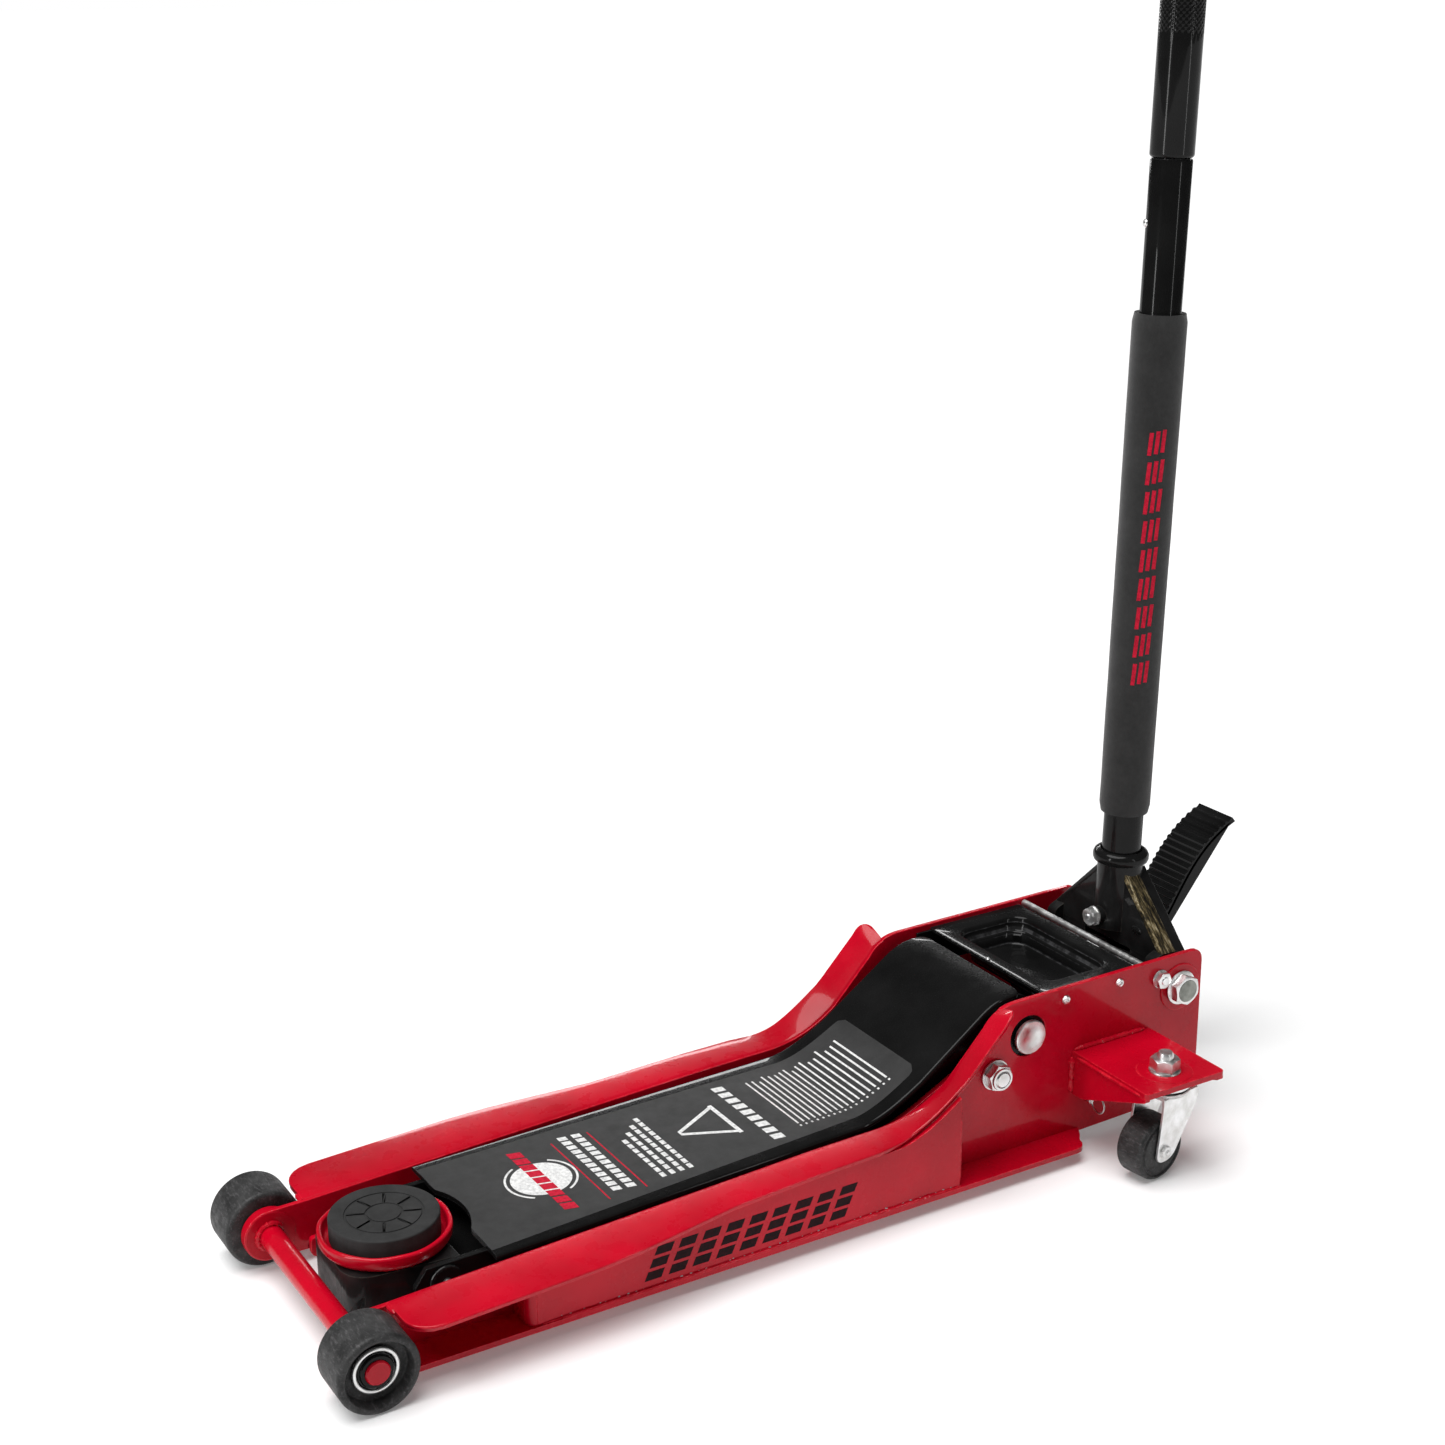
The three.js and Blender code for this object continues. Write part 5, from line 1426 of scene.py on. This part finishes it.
def build_yoke():
    yoke = {"body": "yoke", "place": HANDLE_PLACE}
    piece("yoke_casting", make_yoke(), CASTING, "handle_yoke", bevel=1.2, **yoke)
    front_rim, rear_rim = (-10.4, 7.4, -7.4, 0.4), (6, 21, -13, -4)
    painted = merged(make_rim(-1, *front_rim), make_rim(1, *rear_rim), make_rim(-1, *rear_rim))
    # Only the right-hand front rim gets the brassy mottle: worn paint with a painted reflection.
    piece("yoke_worn_glinting_rim", make_rim(1, *front_rim), WORN_AND_GLINTING, **yoke)
    piece("yoke_rims", painted, CASTING, **yoke)
    collar = [(19.5, 97), (23.6, 97), (26, 98.4), (27, 101), (27, 104.6), (25.6, 107.8), (22.8, 109.6)]
    collar += [(20.6, 109.8), (19.5, 108)]
    piece("socket_collar", lathe(collar, "z", segments=72), BLACK, **yoke)
    angle = math.radians(39.15)
    centre = (0, 26 * math.sin(angle), -26 * math.cos(angle))
    piece("roller_pin", rod(4.5, -70, -24, centre=centre), STEEL, **yoke)
    roller = [(5, -40), (7.4, -40), (8, -39.4), (8, -26.6), (7.4, -26), (5, -26)]
    roller = lathe(roller, "x", centre, 48)
    piece("roller_ring", roller, STEEL, "pump_roller", body="pump_roller", place=HANDLE_PLACE)
    piece("lock_screw", make_lock_screw(), ZINC, "yoke_lock_bolt", **yoke)
    piece("web_plug", make_web_plug(), BLACK, **yoke)


SLEEVE_LOW = 149
SLEEVE_HIGH = 628
GRIP_RADIUS = 20
KNURL_START = 872
KNURL_PAIRS = 12
KNURL_PITCH = 5.2
KNURL_DEPTH = 0.45


def knurl(angle, radius, along):
    """Crossed grooves on the handle's grip end, in a diamond pattern."""
    if along < KNURL_START or radius < GRIP_RADIUS - 0.5:
        return 0.0
    around = KNURL_PAIRS * angle
    climb = math.pi * along / KNURL_PITCH
    nearest = min(abs(math.sin(around + climb)), abs(math.sin(around - climb)))
    return -KNURL_DEPTH * max(0.0, 1 - nearest / 0.4)


def button_hole(depth):
    return moved(rod(4.5, -30, depth, "y", BUTTON_CENTRE), BUTTON_TURN)


def make_lower_tube():
    section = [(16.6, 38.6), (17.2, 38), (18.4, 38), (19, 38.6)]
    section += [(19, 762.6), (18.2, 764), (17, 764), (16.6, 763.4)]
    return boolean(lathe(section, "z", segments=64), [button_hole(-10)])


def make_upper_tube():
    """A shank that slides in the lower tube, and a thicker knurled grip above it."""
    shank = lathe([(0, 640), (14.6, 640), (16.2, 641.6), (16.2, 768), (0, 768)], "z", segments=64)
    shank = boolean(shank, [button_hole(-1)])
    profile = [(0, 764.4), (16.6, 764.4)] + arc((16.4, 768.4), 3.6, -80, 0, 6)
    profile += [(GRIP_RADIUS, 770 + 10 * i) for i in range(1, 11)]
    profile += [(GRIP_RADIUS, KNURL_START + 0.9 * i) for i in range(128)]
    profile += arc((15, 987), 5, 0, 90, 8) + [(0, 992)]
    return merged(shank, lathe(profile, "z", segments=192, wobble=knurl))


def sleeve_radius(z):
    """The foam's outside radius, which grows slightly towards its top."""
    return 24.2 + 0.9 * (z - SLEEVE_LOW) / (SLEEVE_HIGH - SLEEVE_LOW)


def make_sleeve():
    """The foam grip over the lower tube, faintly uneven and drawn in at its ends."""

    def uneven(angle, radius, along):
        if radius <= 21:
            return 0.0
        return 0.22 * noise.noise(Vector((math.cos(angle), math.sin(angle), along / 40)))

    steps = 60
    profile = [(19.3, SLEEVE_LOW + 0.6)]
    for i in range(steps + 1):
        z = SLEEVE_LOW + (SLEEVE_HIGH - SLEEVE_LOW) * i / steps
        profile.append((sleeve_radius(z) - (1.6 if i in (0, steps) else 0), z))
    profile.append((19.3, SLEEVE_HIGH - 0.6))
    return lathe(profile, "z", segments=72, wobble=uneven)


def make_sleeve_print():
    """Plain slanted bars printed along the foam, with no lettering."""
    marks = []
    half_width, steps = 0.075, 6
    for i in range(9):
        start = 282 + 27.4 * i
        for lane in range(3):
            rings = []
            for k in range(steps + 1):
                share = k / steps
                z = start + 21 * share + 1.5 * lane
                radius = sleeve_radius(z) + 0.25
                middle = math.radians(-30) + (lane - 1) * 0.24 + 0.05 * share
                ring = []
                for way, lift in ((-1, -0.4), (1, -0.4), (1, 0), (-1, 0)):
                    a = middle + way * half_width
                    r = radius + lift
                    ring.append(Vector((r * math.cos(a), r * math.sin(a), z)))
                rings.append(ring)
            marks.append(loft(rings))
    return merged(*marks)


def make_drive_cup():
    """The cup at the handle's foot, which fits over the spindle's ball."""
    cup = [(0, 10.3)] + arc((0, 0), 10.3, 80, 20, 3)
    cup += [(10.3, 0), (13.4, 0), (14, 0.8), (14, 6), (9, 13), (9, 32), (16.2, 36), (16.2, 54), (0, 54)]
    return lathe(cup, "z", segments=48)


def build_handle():
    handle = {"body": "handle", "place": HANDLE_PLACE}
    piece("lower_tube", make_lower_tube(), BLACK, "handle_lower_tube", **handle)
    piece("upper_tube", make_upper_tube(), BLACK, "handle_upper_tube", **handle)
    sleeve = piece("foam_sleeve", make_sleeve(), FOAM, "handle_sleeve", **handle)
    piece("sleeve_print", make_sleeve_print(), SLEEVE_INK, smooth=False, **handle)
    piece("drive_cup", make_drive_cup(), STEEL, "handle_drive_cup", **handle)
    button = [(0, -21.5), (2.4, -21.4), (3.5, -20.6), (4, -19.2), (4, -9), (0, -9)]
    button = moved(lathe(button, "y", BUTTON_CENTRE, 32), BUTTON_TURN)
    piece("snap_button", button, ZINC, "detent_button", body="detent_button", place=HANDLE_PLACE)


def build_cover_print():
    """Plain slanted bars printed on the side covers, with no lettering."""
    slant, width = 0.45, 16
    for side in SIDES:
        marks = []
        for i in range(9):
            for low, high in ((25, 33), (36, 44), (47, 55)):
                y = 246 + 23 * i + slant * (low - 27)
                top = y + slant * (high - low)
                outline = [(y, low), (y + width, low), (top + width, high), (top, high)]
                marks.append(prism(outline, 126.4, 126.62))
        side_piece(side, "cover_print", merged(*marks), BLACK_INK, smooth=False)


# ---- foot pedal


def pedal_face(steps=16):
    """The curve of the pedal's tread, in y and z."""
    return bezier((938, 140), (960, 172), (975, 210), (1024, 230), steps)


def make_tread():
    """The tread plate, with cross ribs on its face."""
    face = [Vector(point) for point in pedal_face(34)]
    count = len(face) - 1
    ribs = []
    for i, point in enumerate(face):
        along = (face[min(i + 1, count)] - face[max(i - 1, 0)]).normalized()
        normal = Vector((-along.y, along.x))
        point = point + normal * (0.0 if i % 2 else 1.6)
        if 0 < i < count:
            ribs += [point - along * 0.9, point + along * 0.9]
        else:
            ribs.append(point)
    back = [(y + 3.6, z - 3.6) for y, z in reversed(pedal_face())]
    return prism([(p.x, p.y) for p in ribs] + back, -78, -28)


def make_pedal_arm():
    """The lever under the tread and the tread's two side flanks."""
    flank = [(y + 0.4, z - 0.6) for y, z in pedal_face()] + [(948, 132)]
    outline = rounded([
        (836, 50, 5), (852, 50, 5), (858, 70, 8), (900, 74, 20), (950, 112, 14), (966, 158, 4),
        (956, 166, 4), (938, 141, 6), (934, 122, 12), (896, 94, 20), (854, 93, 8), (837, 93, 8),
    ], 7)
    lever = boolean(prism(outline, -57, -47), [rod(6.5, -70, -30, centre=PEDAL_AXIS)])
    return merged(lever, *[prism(flank, x, x + 4) for x in (-78, -32)])


def build_pedal():
    tread = make_tread()
    piece("pedal_tread", tread, BLACK, "foot_pedal", body="foot_pedal", bevel=0.35)
    piece("pedal_arm", make_pedal_arm(), BLACK, body="foot_pedal", bevel=0.8)
    pin = merged(rod(6, -98, -44, centre=PEDAL_AXIS), hex_head(16, -96.4, -103, centre=PEDAL_AXIS))
    piece("pedal_pin", pin, ZINC, "pedal_pivot_pin")


# ---- stage


def light(name, size, energy, place, target=(0, 0, 0.15)):
    lamp = bpy.data.lights.new(name, "AREA")
    lamp.shape = "RECTANGLE"
    lamp.size, lamp.size_y = size
    lamp.energy = energy
    obj = bpy.data.objects.new(name, lamp)
    bpy.context.scene.collection.objects.link(obj)
    obj.location = place
    obj.rotation_euler = (Vector(target) - Vector(place)).to_track_quat("-Z", "Y").to_euler()


def sun(name, energy, angle, source):
    """A broad, even light that comes from the direction of source."""
    lamp = bpy.data.lights.new(name, "SUN")
    lamp.energy = energy
    lamp.angle = angle
    obj = bpy.data.objects.new(name, lamp)
    bpy.context.scene.collection.objects.link(obj)
    obj.rotation_euler = (-Vector(source)).to_track_quat("-Z", "Y").to_euler()


def make_stage():
    """A pale floor and four lights: an overhead sun, and three strips that mark the edges."""
    floor_mesh = bmesh.new()
    bmesh.ops.create_grid(floor_mesh, x_segments=2, y_segments=2, size=60)
    data = bpy.data.meshes.new("floor")
    floor_mesh.to_mesh(data)
    floor_mesh.free()
    floor = bpy.data.objects.new("floor", data)
    floor.location.z = -0.0006
    bpy.context.scene.collection.objects.link(floor)
    pale = Finish("pale_floor", Roughness=1.0, Specular_IOR_Level=0.0, Emission_Strength=0.14)
    pale.feed((1, 1, 1, 1), pale.shader.inputs["Emission Color"])
    pale.feed(pale.ramp(pale.noise(3, 2), (0.3, 0.80), (0.7, 0.82)), pale.shader.inputs["Base Color"])
    data.materials.append(pale.material)
    make_world()
    sun("overhead_light", 3.5, math.radians(50), (-0.05, -0.42, 1.6))
    light("front_strip", (0.26, 1.6), 16, (0.2, -2.4, 1.0))
    light("side_strip", (0.10, 1.6), 5, (2.3, 1.1, 1.0))
    light("rear_strip", (1.8, 0.12), 9, (-2.5, 1.3, 1.15))


def make_world():
    """Dim surroundings that look white where the camera sees them."""
    world = bpy.data.worlds.new("studio")
    bpy.context.scene.world = world
    world.use_nodes = True
    nodes = world.node_tree.nodes
    links = world.node_tree.links
    dim = nodes["Background"]
    dim.inputs["Color"].default_value = (1, 1, 1, 1)
    dim.inputs["Strength"].default_value = 0.09
    bright = nodes.new("ShaderNodeBackground")
    bright.inputs["Color"].default_value = (1, 1, 1, 1)
    seen = nodes.new("ShaderNodeLightPath")
    either = nodes.new("ShaderNodeMixShader")
    links.new(seen.outputs["Is Camera Ray"], either.inputs["Fac"])
    links.new(dim.outputs["Background"], either.inputs[1])
    links.new(bright.outputs["Background"], either.inputs[2])
    links.new(either.outputs["Shader"], nodes["World Output"].inputs["Surface"])


def make_camera():
    """The camera stands to the front right of the jack and looks down on it."""
    azimuth, elevation, roll = 1.0353, 0.3214, -0.00928
    back = Vector((
        math.sin(azimuth) * math.cos(elevation),
        -math.cos(azimuth) * math.cos(elevation),
        math.sin(elevation),
    ))
    level = Vector((math.cos(azimuth), math.sin(azimuth), 0))
    upright = back.cross(level)
    right = math.cos(roll) * level + math.sin(roll) * upright
    up = -math.sin(roll) * level + math.cos(roll) * upright
    camera = bpy.data.objects.new("camera", bpy.data.cameras.new("camera"))
    bpy.context.scene.collection.objects.link(camera)
    turn = Matrix((right, up, back)).transposed().to_4x4()
    position = (1.5888, AXLE_Y - 0.5421, 1.0678)
    camera.matrix_world = Matrix.Translation(position) @ turn
    camera.data.lens = 56.98
    camera.data.clip_start = 0.05
    bpy.context.scene.camera = camera


# ---- the whole jack

make_camera()
make_stage()
bpy.context.scene.view_settings.view_transform = "Standard"
build_rails()
build_front_axle()
build_front_wheels()
build_arm()
build_lever()
build_links()
build_saddle()
build_tray()
build_side_fasteners()
build_casters()
build_hydraulics()
build_yoke()
build_handle()
build_cover_print()
build_pedal()
